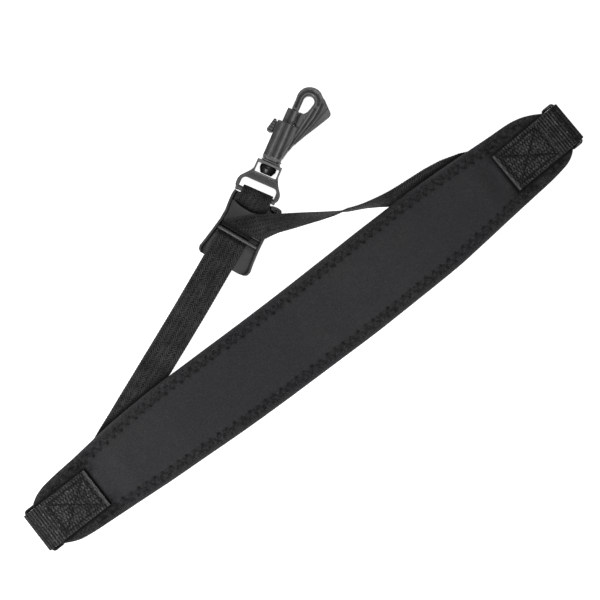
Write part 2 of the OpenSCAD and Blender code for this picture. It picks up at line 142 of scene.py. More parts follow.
def catmull(p, n):
    """Even curve through evenly spaced points."""
    p = np.asarray(p, float)
    out = []
    for i in range(len(p) - 1):
        a, b, c, d = p[max(i - 1, 0)], p[i], p[i + 1], p[min(i + 2, len(p) - 1)]
        for k in range(n):
            t = k / n
            out.append(0.5 * (2 * b + (c - a) * t + (2 * a - 5 * b + 4 * c - d) * t * t + (3 * b - a - 3 * c + d) * t ** 3))
    out.append(p[-1])
    return np.array(out)


def smooth_path(p, extra, step, window):
    """Path p with the values extra beside it, at an even step, with its corners rounded over `window` mm."""
    p, extra = np.asarray(p, float), np.asarray(extra, float)
    s = along(p)
    keep = np.concatenate([[True], np.diff(s) > 1e-6])
    p, extra, s = p[keep], extra[keep], s[keep]
    n = max(int(s[-1] / step), 2)
    q = np.linspace(0, s[-1], n + 1)
    a = np.stack([np.interp(q, s, p[:, k]) for k in range(3)], -1)
    e = np.stack([np.interp(q, s, extra[:, k]) for k in range(extra.shape[1])], -1)
    for k in range(3):
        w = max(int(window / step), 1)
        if w > 1:
            ker = np.hanning(w + 2)[1:-1]
            ker /= ker.sum()
            both = np.concatenate([a, e], 1)
            lo, hi = w // 2, w - 1 - w // 2
            pad = np.concatenate([2 * both[0] - both[1:lo + 1][::-1], both, 2 * both[-1] - both[-hi - 1:-1][::-1]]) if hi else np.concatenate([2 * both[0] - both[1:lo + 1][::-1], both])
            both = np.stack([np.convolve(pad[:, c], ker, "valid") for c in range(both.shape[1])], -1)
            a, e = both[:, :3], both[:, 3:]
            break
    return a, e


def noise2(x, y, cell, seed):
    """Smooth value noise, -1..1, of period cell."""
    rng = np.random.RandomState(seed)
    g = rng.uniform(-1, 1, (257, 257))
    fx, fy = np.asarray(x) / cell + 1000, np.asarray(y) / cell + 1000
    ix, iy = np.floor(fx).astype(int), np.floor(fy).astype(int)
    u, v = fx - ix, fy - iy
    u, v = u * u * (3 - 2 * u), v * v * (3 - 2 * v)
    ix, iy, jx, jy = ix % 257, iy % 257, (ix + 1) % 257, (iy + 1) % 257
    return (g[ix, iy] * (1 - u) + g[jx, iy] * u) * (1 - v) + (g[ix, jy] * (1 - u) + g[jx, jy] * u) * v


def make(name, co, faces, mats, uv=None, face_mat=None, attrs=None, smooth=True, mm=True):
    me = bpy.data.meshes.new(name)
    pts = metres(co) if mm else np.asarray(co)
    me.from_pydata([tuple(p) for p in pts], [], [tuple(int(i) for i in f) for f in faces])
    for m in mats if isinstance(mats, (list, tuple)) else [mats]:
        me.materials.append(m)
    if face_mat is not None:
        me.polygons.foreach_set("material_index", np.asarray(face_mat, np.int32))
    if uv is not None:
        layer = me.uv_layers.new(name="UVMap")
        idx = np.zeros(len(me.loops), np.int32)
        me.loops.foreach_get("vertex_index", idx)
        layer.data.foreach_set("uv", np.asarray(uv, np.float32)[idx].ravel())
    for key, val in (attrs or {}).items():
        a = me.attributes.new(key, "FLOAT", "POINT")
        a.data.foreach_set("value", np.asarray(val, np.float32))
    me.update()
    bm = bmesh.new()
    bm.from_mesh(me)
    bmesh.ops.recalc_face_normals(bm, faces=bm.faces)
    bm.to_mesh(me)
    bm.free()
    me.polygons.foreach_set("use_smooth", np.full(len(me.polygons), smooth))
    ob = bpy.data.objects.new(name, me)
    bpy.context.scene.collection.objects.link(ob)
    return ob


def shell(name, M, half, U, V, mats, relief=None, back_relief=None, attrs=None):
    """A closed web round the middle surface M (n, m, 3), `half` thick to each side."""
    n, m = M.shape[:2]
    N = unit(np.cross(np.gradient(M, axis=0), np.gradient(M, axis=1)))
    relief = np.zeros((n, m)) if relief is None else relief
    back_relief = relief if back_relief is None else back_relief
    top, bot = M + N * (half + relief)[..., None], M - N * (half + back_relief)[..., None]
    i = np.arange(n * m).reshape(n, m)
    b = i + n * m

    def quads(a, c, d, e):
        return np.stack([a, c, d, e], -1).reshape(-1, 4)
    f = np.concatenate([
        quads(i[:-1, :-1], i[1:, :-1], i[1:, 1:], i[:-1, 1:]), quads(b[:-1, :-1], b[:-1, 1:], b[1:, 1:], b[1:, :-1]),
        quads(i[:-1, 0], b[:-1, 0], b[1:, 0], i[1:, 0]), quads(i[:-1, -1], i[1:, -1], b[1:, -1], b[:-1, -1]),
        quads(i[0, :-1], i[0, 1:], b[0, 1:], b[0, :-1]), quads(i[-1, :-1], b[-1, :-1], b[-1, 1:], i[-1, 1:])])
    uv = np.stack([np.concatenate([U.ravel(), U.ravel()]), np.concatenate([V.ravel(), V.ravel() + 40])], -1)
    at = {k: np.concatenate([v.ravel(), v.ravel()]) for k, v in (attrs or {}).items()}
    return make(name, np.concatenate([top.reshape(-1, 3), bot.reshape(-1, 3)]), f, mats, uv, None, at)


def tube(paths, r, sides=8, closed=False, flat=1.0):
    """Round rods along each of the paths; returns points, faces and uv."""
    co, faces, uv = [], [], []
    base = 0
    for p in paths:
        p = np.asarray(p, float)
        n = len(p)
        t = unit(np.roll(p, -1, 0) - np.roll(p, 1, 0)) if closed else unit(np.gradient(p, axis=0))
        up = np.array([0, 0, 1.0])
        a = np.cross(t, up)
        bad = np.linalg.norm(a, axis=1) < 0.15
        a[bad] = np.cross(t[bad], [1.0, 0.1, 0])
        a = unit(a)
        for k in range(1, n):
            a[k] = unit(a[k - 1] - t[k] * np.dot(a[k - 1], t[k]))
        if closed:
            twist = math.atan2(np.dot(np.cross(a[-1], a[0]), t[0]), np.dot(a[-1], a[0]))
            for k in range(n):
                w = twist * k / n
                a[k] = a[k] * math.cos(w) + np.cross(t[k], a[k]) * math.sin(w)
        b = np.cross(t, a)
        ang = np.linspace(0, 2 * math.pi, sides, endpoint=False)
        ring = p[:, None] + r * (a[:, None] * np.cos(ang)[None, :, None] + flat * b[:, None] * np.sin(ang)[None, :, None])
        co.append(ring.reshape(-1, 3))
        s = along(p)
        uv.append(np.stack([np.repeat(s, sides), np.tile(ang * r, n)], -1))
        idx = base + np.arange(n * sides).reshape(n, sides)
        nxt = np.roll(idx, -1, 1)
        if closed:
            rows, rown, nrow, nrown = idx, nxt, np.roll(idx, -1, 0), np.roll(nxt, -1, 0)
        else:
            rows, rown, nrow, nrown = idx[:-1], nxt[:-1], idx[1:], nxt[1:]
        faces += np.stack([rows, nrow, nrown, rown], -1).reshape(-1, 4).tolist()
        if not closed:
            faces += [idx[0].tolist(), idx[-1][::-1].tolist()]
        base += n * sides
    return np.concatenate(co), faces, np.concatenate(uv)


def tube_piece(name, paths, r, mat, sides=8, closed=False, flat=1.0):
    co, faces, uv = tube(paths, r, sides, closed, flat)
    return make(name, co, faces, mat, uv)


# ------------------------------------------------------------------ materials
class Graph:
    def __init__(self, name, rough=0.6, spec=0.3, sheen=0.0, sheen_rough=0.5, coat=0.0, metallic=0.0, ior=1.45):
        self.mat = bpy.data.materials.new(name)
        self.mat.use_nodes = True
        self.t = self.mat.node_tree
        self.b = self.t.nodes["Principled BSDF"]
        for key, val in (("Roughness", rough), ("Specular IOR Level", spec), ("Sheen Weight", sheen), ("Sheen Roughness", sheen_rough),
                         ("Coat Weight", coat), ("Metallic", metallic), ("IOR", ior)):
            self.b.inputs[key].default_value = val

    def set(self, sock, v):
        if isinstance(v, bpy.types.NodeSocket):
            self.t.links.new(v, sock)
        else:
            sock.default_value = v

    def math(self, op, a, b=0.0, c=0.0):
        n = self.t.nodes.new("ShaderNodeMath")
        n.operation = op
        for s, v in zip(n.inputs, (a, b, c)):
            self.set(s, v)
        return n.outputs[0]

    def coords(self, kind="Object"):
        return self.t.nodes.new("ShaderNodeTexCoord").outputs[kind]

    def uv(self):
        n = self.t.nodes.new("ShaderNodeUVMap")
        n.uv_map = "UVMap"
        s = self.t.nodes.new("ShaderNodeSeparateXYZ")
        self.t.links.new(n.outputs[0], s.inputs[0])
        return s.outputs[0], s.outputs[1]

    def attr(self, name):
        n = self.t.nodes.new("ShaderNodeAttribute")
        n.attribute_name = name
        return n.outputs["Fac"]

    def noise(self, size_mm, detail=2.0, rough=0.5, vec=None, distort=0.0):
        n = self.t.nodes.new("ShaderNodeTexNoise")
        self.t.links.new(vec or self.coords(), n.inputs["Vector"])
        n.inputs["Scale"].default_value = 1000.0 / size_mm
        n.inputs["Detail"].default_value = detail
        n.inputs["Roughness"].default_value = rough
        n.inputs["Distortion"].default_value = distort
        return n.outputs["Fac"]

    def span(self, v, a, b, c, d):
        n = self.t.nodes.new("ShaderNodeMapRange")
        n.clamp = True
        self.set(n.inputs["Value"], v)
        for k, x in (("From Min", a), ("From Max", b), ("To Min", c), ("To Max", d)):
            self.set(n.inputs[k], x)
        return n.outputs["Result"]

    def mix(self, f, a, b, blend="MIX"):
        n = self.t.nodes.new("ShaderNodeMix")
        n.data_type = "RGBA"
        n.blend_type = blend
        self.set(n.inputs[0], f)
        for k, v in ((6, a), (7, b)):
            if isinstance(v, tuple) and len(v) == 3:
                v = (*v, 1)
            self.set(n.inputs[k], v)
        return n.outputs[2]

    def bump(self, h, dist_mm, strength=1.0, normal=None):
        n = self.t.nodes.new("ShaderNodeBump")
        n.inputs["Strength"].default_value = strength
        n.inputs["Distance"].default_value = dist_mm / 1000
        self.set(n.inputs["Height"], h)
        if normal is not None:
            self.t.links.new(normal, n.inputs["Normal"])
        return n.outputs[0]

    def colour(self, c):
        self.set(self.b.inputs["Base Color"], c if isinstance(c, bpy.types.NodeSocket) else (*c, 1))

    def rough(self, r):
        self.set(self.b.inputs["Roughness"], r)

    def normal(self, n):
        self.t.links.new(n, self.b.inputs["Normal"])


def grey(v, blue=1.0):
    """Linear grey from a screen value of 0-255, a little blue."""
    c = v / 255
    lin = ((c + 0.055) / 1.055) ** 2.4 if c > 0.04 else c / 12.92
    return (lin, lin, lin * blue)


def band_fabric():
    g = Graph("band_fabric_knit", rough=0.85, spec=0.18, sheen=0.06, sheen_rough=0.5)
    fine = g.noise(0.55, 3, 0.65)
    grain = g.noise(1.6, 2, 0.6)
    large = g.noise(26, 2, 0.5)
    edge, dots_and_painted_shade = g.attr("edge"), g.attr("dots_and_painted_shade")
    c = g.mix(g.span(large, 0.35, 0.65, 0, 1), grey(47, 1.14), grey(53, 1.04))
    c = g.mix(g.span(g.noise(4.5, 2, 0.6), 0.38, 0.62, 0, 0.35), c, grey(42, 1.08))
    c = g.mix(g.span(grain, 0.35, 0.65, 0, 0.55), c, grey(40, 1.07))
    c = g.mix(g.span(fine, 0.45, 0.68, 0, 0.55), c, grey(72, 1.05))
    rough_edge = g.math("MULTIPLY", edge, g.span(g.noise(1.5, 3, 0.75), 0.44, 0.60, 0, 0.9))
    c = g.mix(rough_edge, c, grey(24, 1.02))
    spark = g.math("MULTIPLY", edge, g.span(g.noise(0.9, 2, 0.7), 0.60, 0.74, 0, 0.6))
    c = g.mix(spark, c, grey(86, 1.0))
    # seam holes, margin blotches and the painted shadow round the tabs darken the knit
    c = g.mix(dots_and_painted_shade, c, grey(11, 1.0))
    g.colour(c)
    h = g.math("ADD", g.math("MULTIPLY", fine, 0.5), g.math("MULTIPLY", grain, g.math("ADD", 0.4, g.math("MULTIPLY", edge, 0.9))))
    g.normal(g.bump(h, 0.35, 0.8))
    g.rough(g.span(fine, 0.3, 0.7, 0.78, 0.92))
    return g.mat


def back_fabric():
    g = Graph("back_fabric_grip", rough=0.9, spec=0.15, sheen=0.05)
    s = g.t.nodes.new("ShaderNodeSeparateXYZ")
    g.t.links.new(g.coords(), s.inputs[0])
    a = g.math("SINE", g.math("MULTIPLY", g.math("ADD", s.outputs[0], s.outputs[1]), 2 * math.pi * 1000 / 2.4))
    b = g.math("SINE", g.math("MULTIPLY", g.math("SUBTRACT", s.outputs[0], s.outputs[1]), 2 * math.pi * 1000 / 2.4))
    d = g.math("MULTIPLY", a, b)
    n = g.noise(0.7, 3, 0.6)
    c = g.mix(g.span(d, -0.6, 0.6, 0, 1), grey(30), grey(46, 1.03))
    c = g.mix(g.span(g.noise(22, 2, 0.5), 0.4, 0.65, 0, 0.4), c, grey(38))
    g.colour(g.mix(g.span(n, 0.4, 0.7, 0, 0.35), c, grey(58)))
    g.normal(g.bump(g.math("ADD", d, n), 0.25, 0.7))
    g.rough(g.span(n, 0.3, 0.7, 0.82, 0.95))
    return g.mat


def foam_edge():
    g = Graph("foam_edge", rough=0.95, spec=0.1)
    cell = g.noise(0.8, 4, 0.7)
    g.colour(g.mix(g.span(cell, 0.35, 0.65, 0, 1), grey(24), grey(44)))
    g.normal(g.bump(cell, 0.3, 0.8))
    g.rough(g.span(cell, 0.3, 0.7, 0.88, 0.98))
    return g.mat


def web_weave(name, dark, light, column=2.3, pitch=1.2, slope=1.2, bump=0.26, worn=66):
    g = Graph(name, rough=0.75, spec=0.22, sheen=0.04)
    u, v = g.uv()
    uj = g.math("ADD", u, g.math("MULTIPLY", g.math("SUBTRACT", g.noise(3.0, 2, 0.5), 0.5), 0.9))
    tri = g.math("PINGPONG", g.math("ADD", v, 60.0), column)
    ph = g.math("MULTIPLY", g.math("ADD", uj, g.math("MULTIPLY", tri, slope)), 2 * math.pi / pitch)
    rib = g.math("SINE", ph)
    side = g.math("COSINE", g.math("MULTIPLY", g.math("ADD", v, 60.0), 2 * math.pi / column))
    yarn = g.math("SINE", g.math("MULTIPLY", v, 2 * math.pi / 0.58))
    rib = g.math("MULTIPLY", rib, g.span(g.noise(3.4, 2, 0.6), 0.36, 0.60, 0.35, 1.15))
    h = g.math("ADD", rib, g.math("ADD", g.math("MULTIPLY", side, -0.35), g.math("MULTIPLY", yarn, 0.30)))
    speck = g.noise(0.7, 3, 0.7)
    h2 = g.math("ADD", h, g.math("MULTIPLY", g.math("SUBTRACT", speck, 0.5), 2.2))
    c = g.mix(g.span(h2, -1.3, 1.3, 0, 1), dark, light)
    c = g.mix(g.span(g.noise(9, 2, 0.5), 0.40, 0.66, 0, 0.45), c, dark)
    c = g.mix(g.span(g.noise(0.9, 2, 0.6), 0.62, 0.75, 0, 0.5), c, grey(worn))
    c = g.mix(g.span(g.noise(1.9, 3, 0.7), 0.55, 0.67, 0, 0.8), c, grey(9))
    c = g.mix(g.attr("wear"), c, grey(worn))
    c = g.mix(g.attr("shade"), c, grey(9))
    g.colour(c)
    g.normal(g.bump(h2, bump, 0.9))
    g.rough(g.span(speck, 0.3, 0.7, 0.66, 0.85))
    return g.mat


def tab_weave():
    g = Graph("wide_web_weave", rough=0.7, spec=0.25, sheen=0.04)
    u, v = g.uv()
    row = g.math("FLOOR", g.math("DIVIDE", g.math("ADD", v, 60.0), 2.8))
    odd = g.math("MULTIPLY", g.math("MODULO", row, 2.0), math.pi)
    uj = g.math("ADD", u, g.math("MULTIPLY", g.math("SUBTRACT", g.noise(2.6, 2, 0.5), 0.5), 0.7))
    rib = g.math("SINE", g.math("ADD", g.math("MULTIPLY", uj, 2 * math.pi / 1.75), g.math("MULTIPLY", odd, g.attr("basket"))))
    cross = g.math("COSINE", g.math("MULTIPLY", g.math("ADD", v, 60.0), 2 * math.pi / 2.8))
    speck = g.noise(0.7, 3, 0.7)
    h = g.math("ADD", g.math("SUBTRACT", rib, g.math("MULTIPLY", cross, g.math("MULTIPLY", g.attr("basket"), 0.5))), g.math("MULTIPLY", g.math("SUBTRACT", speck, 0.5), 2.0))
    c = g.mix(g.span(h, -0.9, 1.0, 0, 1), grey(8), grey(66))
    c = g.mix(g.span(g.noise(0.95, 2, 0.6), 0.56, 0.68, 0, 0.8), c, grey(115))
    c = g.mix(g.span(g.noise(1.5, 3, 0.7), 0.55, 0.66, 0, 0.85), c, grey(11))
    c = g.mix(g.span(g.noise(4.5, 3, 0.6), 0.50, 0.64, 0, 0.7), c, grey(14))
    # wear, and the painted highlight on the rib crests near the ring, lighten the web; painted shade darkens it below
    c = g.mix(g.attr("wear"), c, grey(84))
    c = g.mix(g.attr("shade"), c, grey(10))
    g.colour(c)
    g.normal(g.bump(h, 0.25, 0.8))
    g.rough(g.span(speck, 0.3, 0.7, 0.6, 0.82))
    return g.mat


def thread_mat(name, v):
    g = Graph(name, rough=0.6, spec=0.3, sheen=0.05)
    u, w = g.uv()
    ply = g.math("SINE", g.math("MULTIPLY", g.math("ADD", u, g.math("MULTIPLY", w, 1.6)), 2 * math.pi / 0.42))
    n = g.noise(1.3, 2, 0.6)
    g.colour(g.mix(g.span(g.math("ADD", ply, g.math("MULTIPLY", n, 1.5)), -0.6, 1.8, 0, 1), grey(v), grey(v * 1.9)))
    g.normal(g.bump(ply, 0.06, 0.8))
    g.rough(g.span(n, 0.3, 0.7, 0.5, 0.7))
    return g.mat


def plastic(name, v, rough, spec=0.5, wear=0.35, grain=0.9, coat=0.0):
    g = Graph(name, rough=rough, spec=spec, coat=coat)
    n, fine, large = g.noise(grain, 3, 0.6), g.noise(0.35, 2, 0.6), g.noise(11, 2, 0.5)
    c = g.mix(g.span(large, 0.35, 0.65, 0, 1), grey(v), grey(v * 1.10, 1.01))
    c = g.mix(g.span(n, 0.35, 0.7, 0, 0.35), c, grey(v * 0.82))
    # painted highlights on ridges and painted shade in grooves and on sides, read from the moulding's shading
    # attribute, with a little random mottle
    painted_shading_and_mottle = g.math("ADD", g.attr("painted_shading_and_mottle"), g.math("MULTIPLY", g.math("SUBTRACT", n, 0.5), 0.25))
    c = g.mix(g.span(painted_shading_and_mottle, 0.08, 1.0, 0, 0.95), c, grey(min(v * 1.75, 170)))
    c = g.mix(g.span(painted_shading_and_mottle, -1.0, -0.08, 0.97, 0), c, grey(v * 0.30))
    geo = g.t.nodes.new("ShaderNodeNewGeometry")
    edge = g.span(geo.outputs["Pointiness"], 0.50, 0.60, 0, wear)
    c = g.mix(g.math("MULTIPLY", edge, g.span(n, 0.3, 0.6, 0.5, 1)), c, grey(min(v * 1.7, 170)))
    g.colour(c)
    scratch = g.noise(4, 3, 0.7, distort=1.2)
    g.rough(g.math("ADD", g.span(n, 0.3, 0.7, rough - 0.05, rough + 0.08), g.span(scratch, 0.5, 0.6, 0, 0.05)))
    g.normal(g.bump(g.math("ADD", fine, g.math("MULTIPLY", n, 0.8)), 0.05, 0.5))
    return g.mat


def steel():
    g = Graph("spring_steel_wire", rough=0.3, spec=0.5, metallic=1.0)
    n = g.noise(0.8, 3, 0.6)
    g.colour(g.mix(g.span(n, 0.3, 0.7, 0, 1), (0.42, 0.42, 0.43), (0.62, 0.62, 0.63)))
    g.rough(g.span(n, 0.3, 0.7, 0.24, 0.42))
    g.normal(g.bump(n, 0.02, 0.5))
    return g.mat


M_BAND, M_BACK, M_FOAM = band_fabric(), back_fabric(), foam_edge()
M_WEB = web_weave("narrow_web_weave", grey(12), grey(80), column=3.1, pitch=1.75, slope=1.1, bump=0.30, worn=88)
M_TAB = tab_weave()
M_SEAM, M_BOX, M_TACK = thread_mat("seam_thread", 28), thread_mat("box_thread", 11), thread_mat("tack_thread", 22)
M_SLIDER = plastic("adjuster_plastic", 46, 0.40)
M_FRAME = plastic("swivel_plastic", 66, 0.38)
M_HOOK = plastic("hook_plastic", 76, 0.38)
M_GATE = plastic("gate_plastic", 72, 0.40)
M_STUD = plastic("stud_gloss", 10, 0.30, spec=0.5, wear=0.1)
M_RING = plastic("ring_black", 26, 0.30, spec=0.5, wear=0.5)
M_STEEL = steel()

# ------------------------------------------------------------------ the padded band
HALF, FULL_T, RIM_T = 187.0, 6.4, 3.3
UPPER = np.array([[-187, 8], [-186.6, 11], [-185.4, 13.6], [-183, 15.6], [-179, 17.6], [-174, 19], [-166, 20], [-150, 21.2], [-135, 22.7],
                  [-112, 24.4], [-90, 25], [-60, 24.7], [-30, 24.2], [0, 24], [30, 24.2], [60, 24.5], [90, 24.4], [112, 23.6], [135, 22.2],
                  [150, 21.2], [164, 20.4], [171, 19], [177, 16.6], [182, 13.8], [185.4, 11.6], [186.6, 9.6], [187, 7]], float)
LOWER = np.array([[-187, -8], [-186.6, -11], [-185.4, -13.4], [-183, -15], [-179, -17], [-174, -18.7], [-166, -19.8], [-150, -21], [-135, -22.1],
                  [-112, -23.8], [-90, -25], [-60, -26.6], [-30, -27.6], [0, -28.1], [30, -28.5], [60, -28], [90, -27.3], [112, -25.6], [135, -23.5],
                  [150, -22.2], [164, -21], [171, -20], [177, -18.8], [182, -16.4], [185.4, -13], [186.6, -10.6], [187, -8]], float)


def up_y(x):
    return pchip(UPPER[:, 0], UPPER[:, 1], np.asarray(x, float))


def lo_y(x):
    return pchip(LOWER[:, 0], LOWER[:, 1], np.asarray(x, float))


def under(x):
    a = np.abs(x)
    return 4.4 * ease((a - 14) / 60) + 0.6 * ease((a - 120) / 26) + 1.1 * ease((a - 150) / 34)


def thick(x, v):
    m = FULL_T - (FULL_T - RIM_T) * ease((np.abs(x) - 128) / 14)
    return RIM_T + (m - RIM_T) * (1 - np.minimum(np.abs(v), 1) ** 3)


def over(x, v=0.0):
    return under(x) + thick(x, v)


def puffed(xs, vs):
    """Cloth simulation of the stuffed band: how far its face and back swell, on a grid of places xs by vs."""
    n, m = len(xs), len(vs)
    X, Vv = np.meshgrid(xs, vs, indexing="ij")
    yu, yl = up_y(xs)[:, None], lo_y(xs)[:, None]
    Y = (yu + yl) / 2 + Vv * (yu - yl) / 2
    slack = 0.10 * noise2(X, Y, 17, 3) + 0.06 * noise2(X, Y, 7, 4)
    top = np.stack([X, Y, over(X, Vv) - 0.9 + slack * 3], -1)
    bot = np.stack([X, Y, under(X) + 0.5 + slack], -1)
    i = np.arange(n * m).reshape(n, m)
    b = i + n * m

    def q(a, c, d, e):
        return np.stack([a, c, d, e], -1).reshape(-1, 4)
    f = np.concatenate([q(i[:-1, :-1], i[1:, :-1], i[1:, 1:], i[:-1, 1:]), q(b[:-1, :-1], b[:-1, 1:], b[1:, 1:], b[1:, :-1]),
                        q(i[:-1, 0], b[:-1, 0], b[1:, 0], i[1:, 0]), q(i[:-1, -1], i[1:, -1], b[1:, -1], b[:-1, -1]),
                        q(i[0, :-1], i[0, 1:], b[0, 1:], b[0, :-1]), q(i[-1, :-1], b[-1, :-1], b[-1, 1:], i[-1, 1:])])
    start = np.concatenate([top.reshape(-1, 3), bot.reshape(-1, 3)])
    # a bigger model of the band keeps the solver steady: 1 unit here is a centimetre of band
    ob = make("band_simulation", start / 10 * 1000 - shift, f, M_BAND)
    inner = np.minimum(yu - Y, Y - yl)
    pinned = (inner < 8.0) | (np.abs(X) > 146)
    vg = ob.vertex_groups.new(name="sewn")
    vg.add([int(k) for k in np.nonzero(np.concatenate([pinned.ravel(), pinned.ravel()]))[0]], 1.0, "REPLACE")
    cl = ob.modifiers.new("cloth", "CLOTH")
    s = cl.settings
    s.quality = 6
    s.mass = 0.3
    s.tension_stiffness = s.compression_stiffness = 18
    s.shear_stiffness = 8
    s.bending_stiffness = 2
    s.use_pressure = True
    s.uniform_pressure_force = 4
    s.effector_weights.gravity = 0
    s.vertex_group_mass = "sewn"
    cl.collision_settings.use_collision = False
    scene = bpy.context.scene
    cl.point_cache.frame_start, cl.point_cache.frame_end = 1, 24
    for k in range(1, 21):
        scene.frame_set(k)
    ev = ob.evaluated_get(bpy.context.evaluated_depsgraph_get())
    me = ev.to_mesh()
    co = np.zeros(len(me.vertices) * 3)
    me.vertices.foreach_get("co", co)
    co = co.reshape(-1, 3) * 10
    ev.to_mesh_clear()
    scene.frame_set(1)
    mesh = ob.data
    bpy.data.objects.remove(ob)
    bpy.data.meshes.remove(mesh)
    d = co - start
    print("band simulation: face moved %.2f mm, back %.2f mm" % (np.abs(d[:n * m, 2]).max(), np.abs(d[n * m:, 2]).max()))
    return d[:n * m, 2].reshape(n, m), d[n * m:, 2].reshape(n, m)


SIM_X = np.linspace(-180, 180, 121)
SIM_V = np.linspace(-1, 1, 19)
swell_top, swell_bot = puffed(SIM_X, SIM_V)
cap = 0.95
swell_top = swell_top * min(1.0, cap / max(swell_top.max(), 1e-6)) if swell_top.max() > cap else swell_top
swell_top = np.clip(swell_top, -0.2, cap)
swell_bot = np.clip(swell_bot * 0.3, -0.35, 0.2) * ease((118 - np.abs(SIM_X)) / 20)[:, None] * ease((np.abs(SIM_X) - 55) / 20)[:, None]


def grid_read(G, x, v):
    fx = np.clip((x - SIM_X[0]) / (SIM_X[1] - SIM_X[0]), 0, len(SIM_X) - 1.001)
    fv = np.clip((v - SIM_V[0]) / (SIM_V[1] - SIM_V[0]), 0, len(SIM_V) - 1.001)
    i, j = fx.astype(int), fv.astype(int)
    a, b = fx - i, fv - j
    a, b = a * a * (3 - 2 * a), b * b * (3 - 2 * b)
    return (G[i, j] * (1 - a) + G[i + 1, j] * a) * (1 - b) + (G[i, j + 1] * (1 - a) + G[i + 1, j + 1] * a) * b


TAB_HALF = 12.6
SEAM_PITCH, SEAM_END, SEAM_OUT, SEAM_IN = 5.5, 157.0, 4.0, 7.2


def seam_marks(x, d):
    """Needle holes and the drawn-in line of the zigzag seam at place x along and d in from an edge: depth and darkness."""
    on = ease((SEAM_END + 1 - np.abs(x)) / 2)
    depth, dark = np.zeros_like(x), np.zeros_like(x)
    marks = [(0, SEAM_OUT, 0.70, 0.85, 0.60), (2.75, SEAM_IN, 0.80, 1.05, 0.80)]
    for k in (1, 2):
        f = k / 3
        marks += [(2.75 * f, SEAM_OUT + (SEAM_IN - SEAM_OUT) * f, 0.55, 0.45, 0.35), (5.5 - 2.75 * f, SEAM_OUT + (SEAM_IN - SEAM_OUT) * f, 0.55, 0.45, 0.35)]
    for off, dd, r, dk, dp in marks:
        k = np.round((x - off) / SEAM_PITCH)
        jit = 0.18 * np.sin(k * 12.9898 + off * 7.1)
        ex, ed = x - (off + SEAM_PITCH * k) - jit, d - dd - 0.15 * np.sin(k * 4.7 + off)
        g = np.exp(-(ex * ex + ed * ed) / (r * r))
        depth += g * dp
        dark = np.maximum(dark, np.clip(g * dk, 0, 1) * (0.75 + 0.25 * np.sin(k * 3.1 + off * 5)))
    ph = np.abs(((x / SEAM_PITCH) % 1) * 2 - 1)
    line = SEAM_OUT + (SEAM_IN - SEAM_OUT) * (1 - ph)
    near = np.exp(-((d - line) / 0.5) ** 2)
    depth += 0.16 * near
    dark = np.maximum(dark, 0.15 * near)
    return depth * on, dark * on


def pad_top(x, y):
    """Height of the band's face at x, y, without the rim's rounding, and its darkness (the seam's marks, the margins
    and the painted shadow round the tabs) and the edge band.
    """
    yu, yl = up_y(x), lo_y(x)
    v = np.clip((2 * y - yu - yl) / np.maximum(yu - yl, 1), -1, 1)
    du, dl = yu - y, y - yl
    d = np.minimum(du, dl)
    z = over(x, v) + grid_read(swell_top, x, v)
    dep1, dark1 = seam_marks(x, du)
    dep2, dark2 = seam_marks(x + 1.3, dl)
    dep, dark = dep1 + dep2, np.maximum(dark1, dark2)
    inside = ease((SEAM_END + 2 - np.abs(x)) / 4)
    z = z - 0.28 * np.exp(-((d - 5.6) / 2.3) ** 4) * inside - dep
    rim = np.exp(-((d - 2.0) / 1.4) ** 2)
    z = z + 0.18 * rim + 0.10 * noise2(x, y, 2.4, 11) * np.exp(-((d - 5) / 3.2) ** 4) * inside + 0.05 * noise2(x, y, 1.1, 12) * ease((9 - d) / 3)
    z = z + 0.12 * noise2(x, y, 19, 13) * ease((d - 5) / 6) * ease((150 - np.abs(x)) / 10) + 0.035 * noise2(x, y, 3.2, 14) * ease((d - 7) / 2)
    # the sewn tabs press into the face, and a painted shadow darkens the face round their edges
    for sgn, inner, y0 in ((-1, 149.5, -0.4), (1, 145.5, -0.3)):
        lx = sgn * x
        yy = np.abs(y - y0 - (0 if sgn < 0 else (x - 184) * 0.038)) - TAB_HALF
        gap = np.hypot(np.maximum(inner - lx, 0), np.maximum(yy, 0))
        near = np.exp(-(gap / 1.1) ** 2) * (lx > inner - 6)
        dark = np.maximum(dark, 0.92 * np.exp(-(np.maximum(gap - 0.4, 0) / 1.5) ** 2) * (lx > inner - 6) * (0.9 + 0.1 * noise2(x, y, 1.8, 15)))
        z = z - 0.15 * near
    edge = ease((8.4 - d) / 1.6) * (0.35 + 0.65 * ease((d - 1.0) / 2.2))
    # the rough, shaded margin between the tabs and the band's edge
    ends = ease((np.abs(x) - np.where(x < 0, 141.0, 138.0)) / 9) * ease((15.5 - d) / 4)
    edge = np.maximum(edge, 0.95 * ends)
    dark = np.maximum(dark, ends * np.clip(0.30 + 0.45 * noise2(x, y, 2.2, 16) + 0.35 * noise2(x, y, 1.0, 17), 0, 0.8) * ease((d - 1.5) / 2))
    return z, np.clip(dark * 1.25, 0, 1), edge


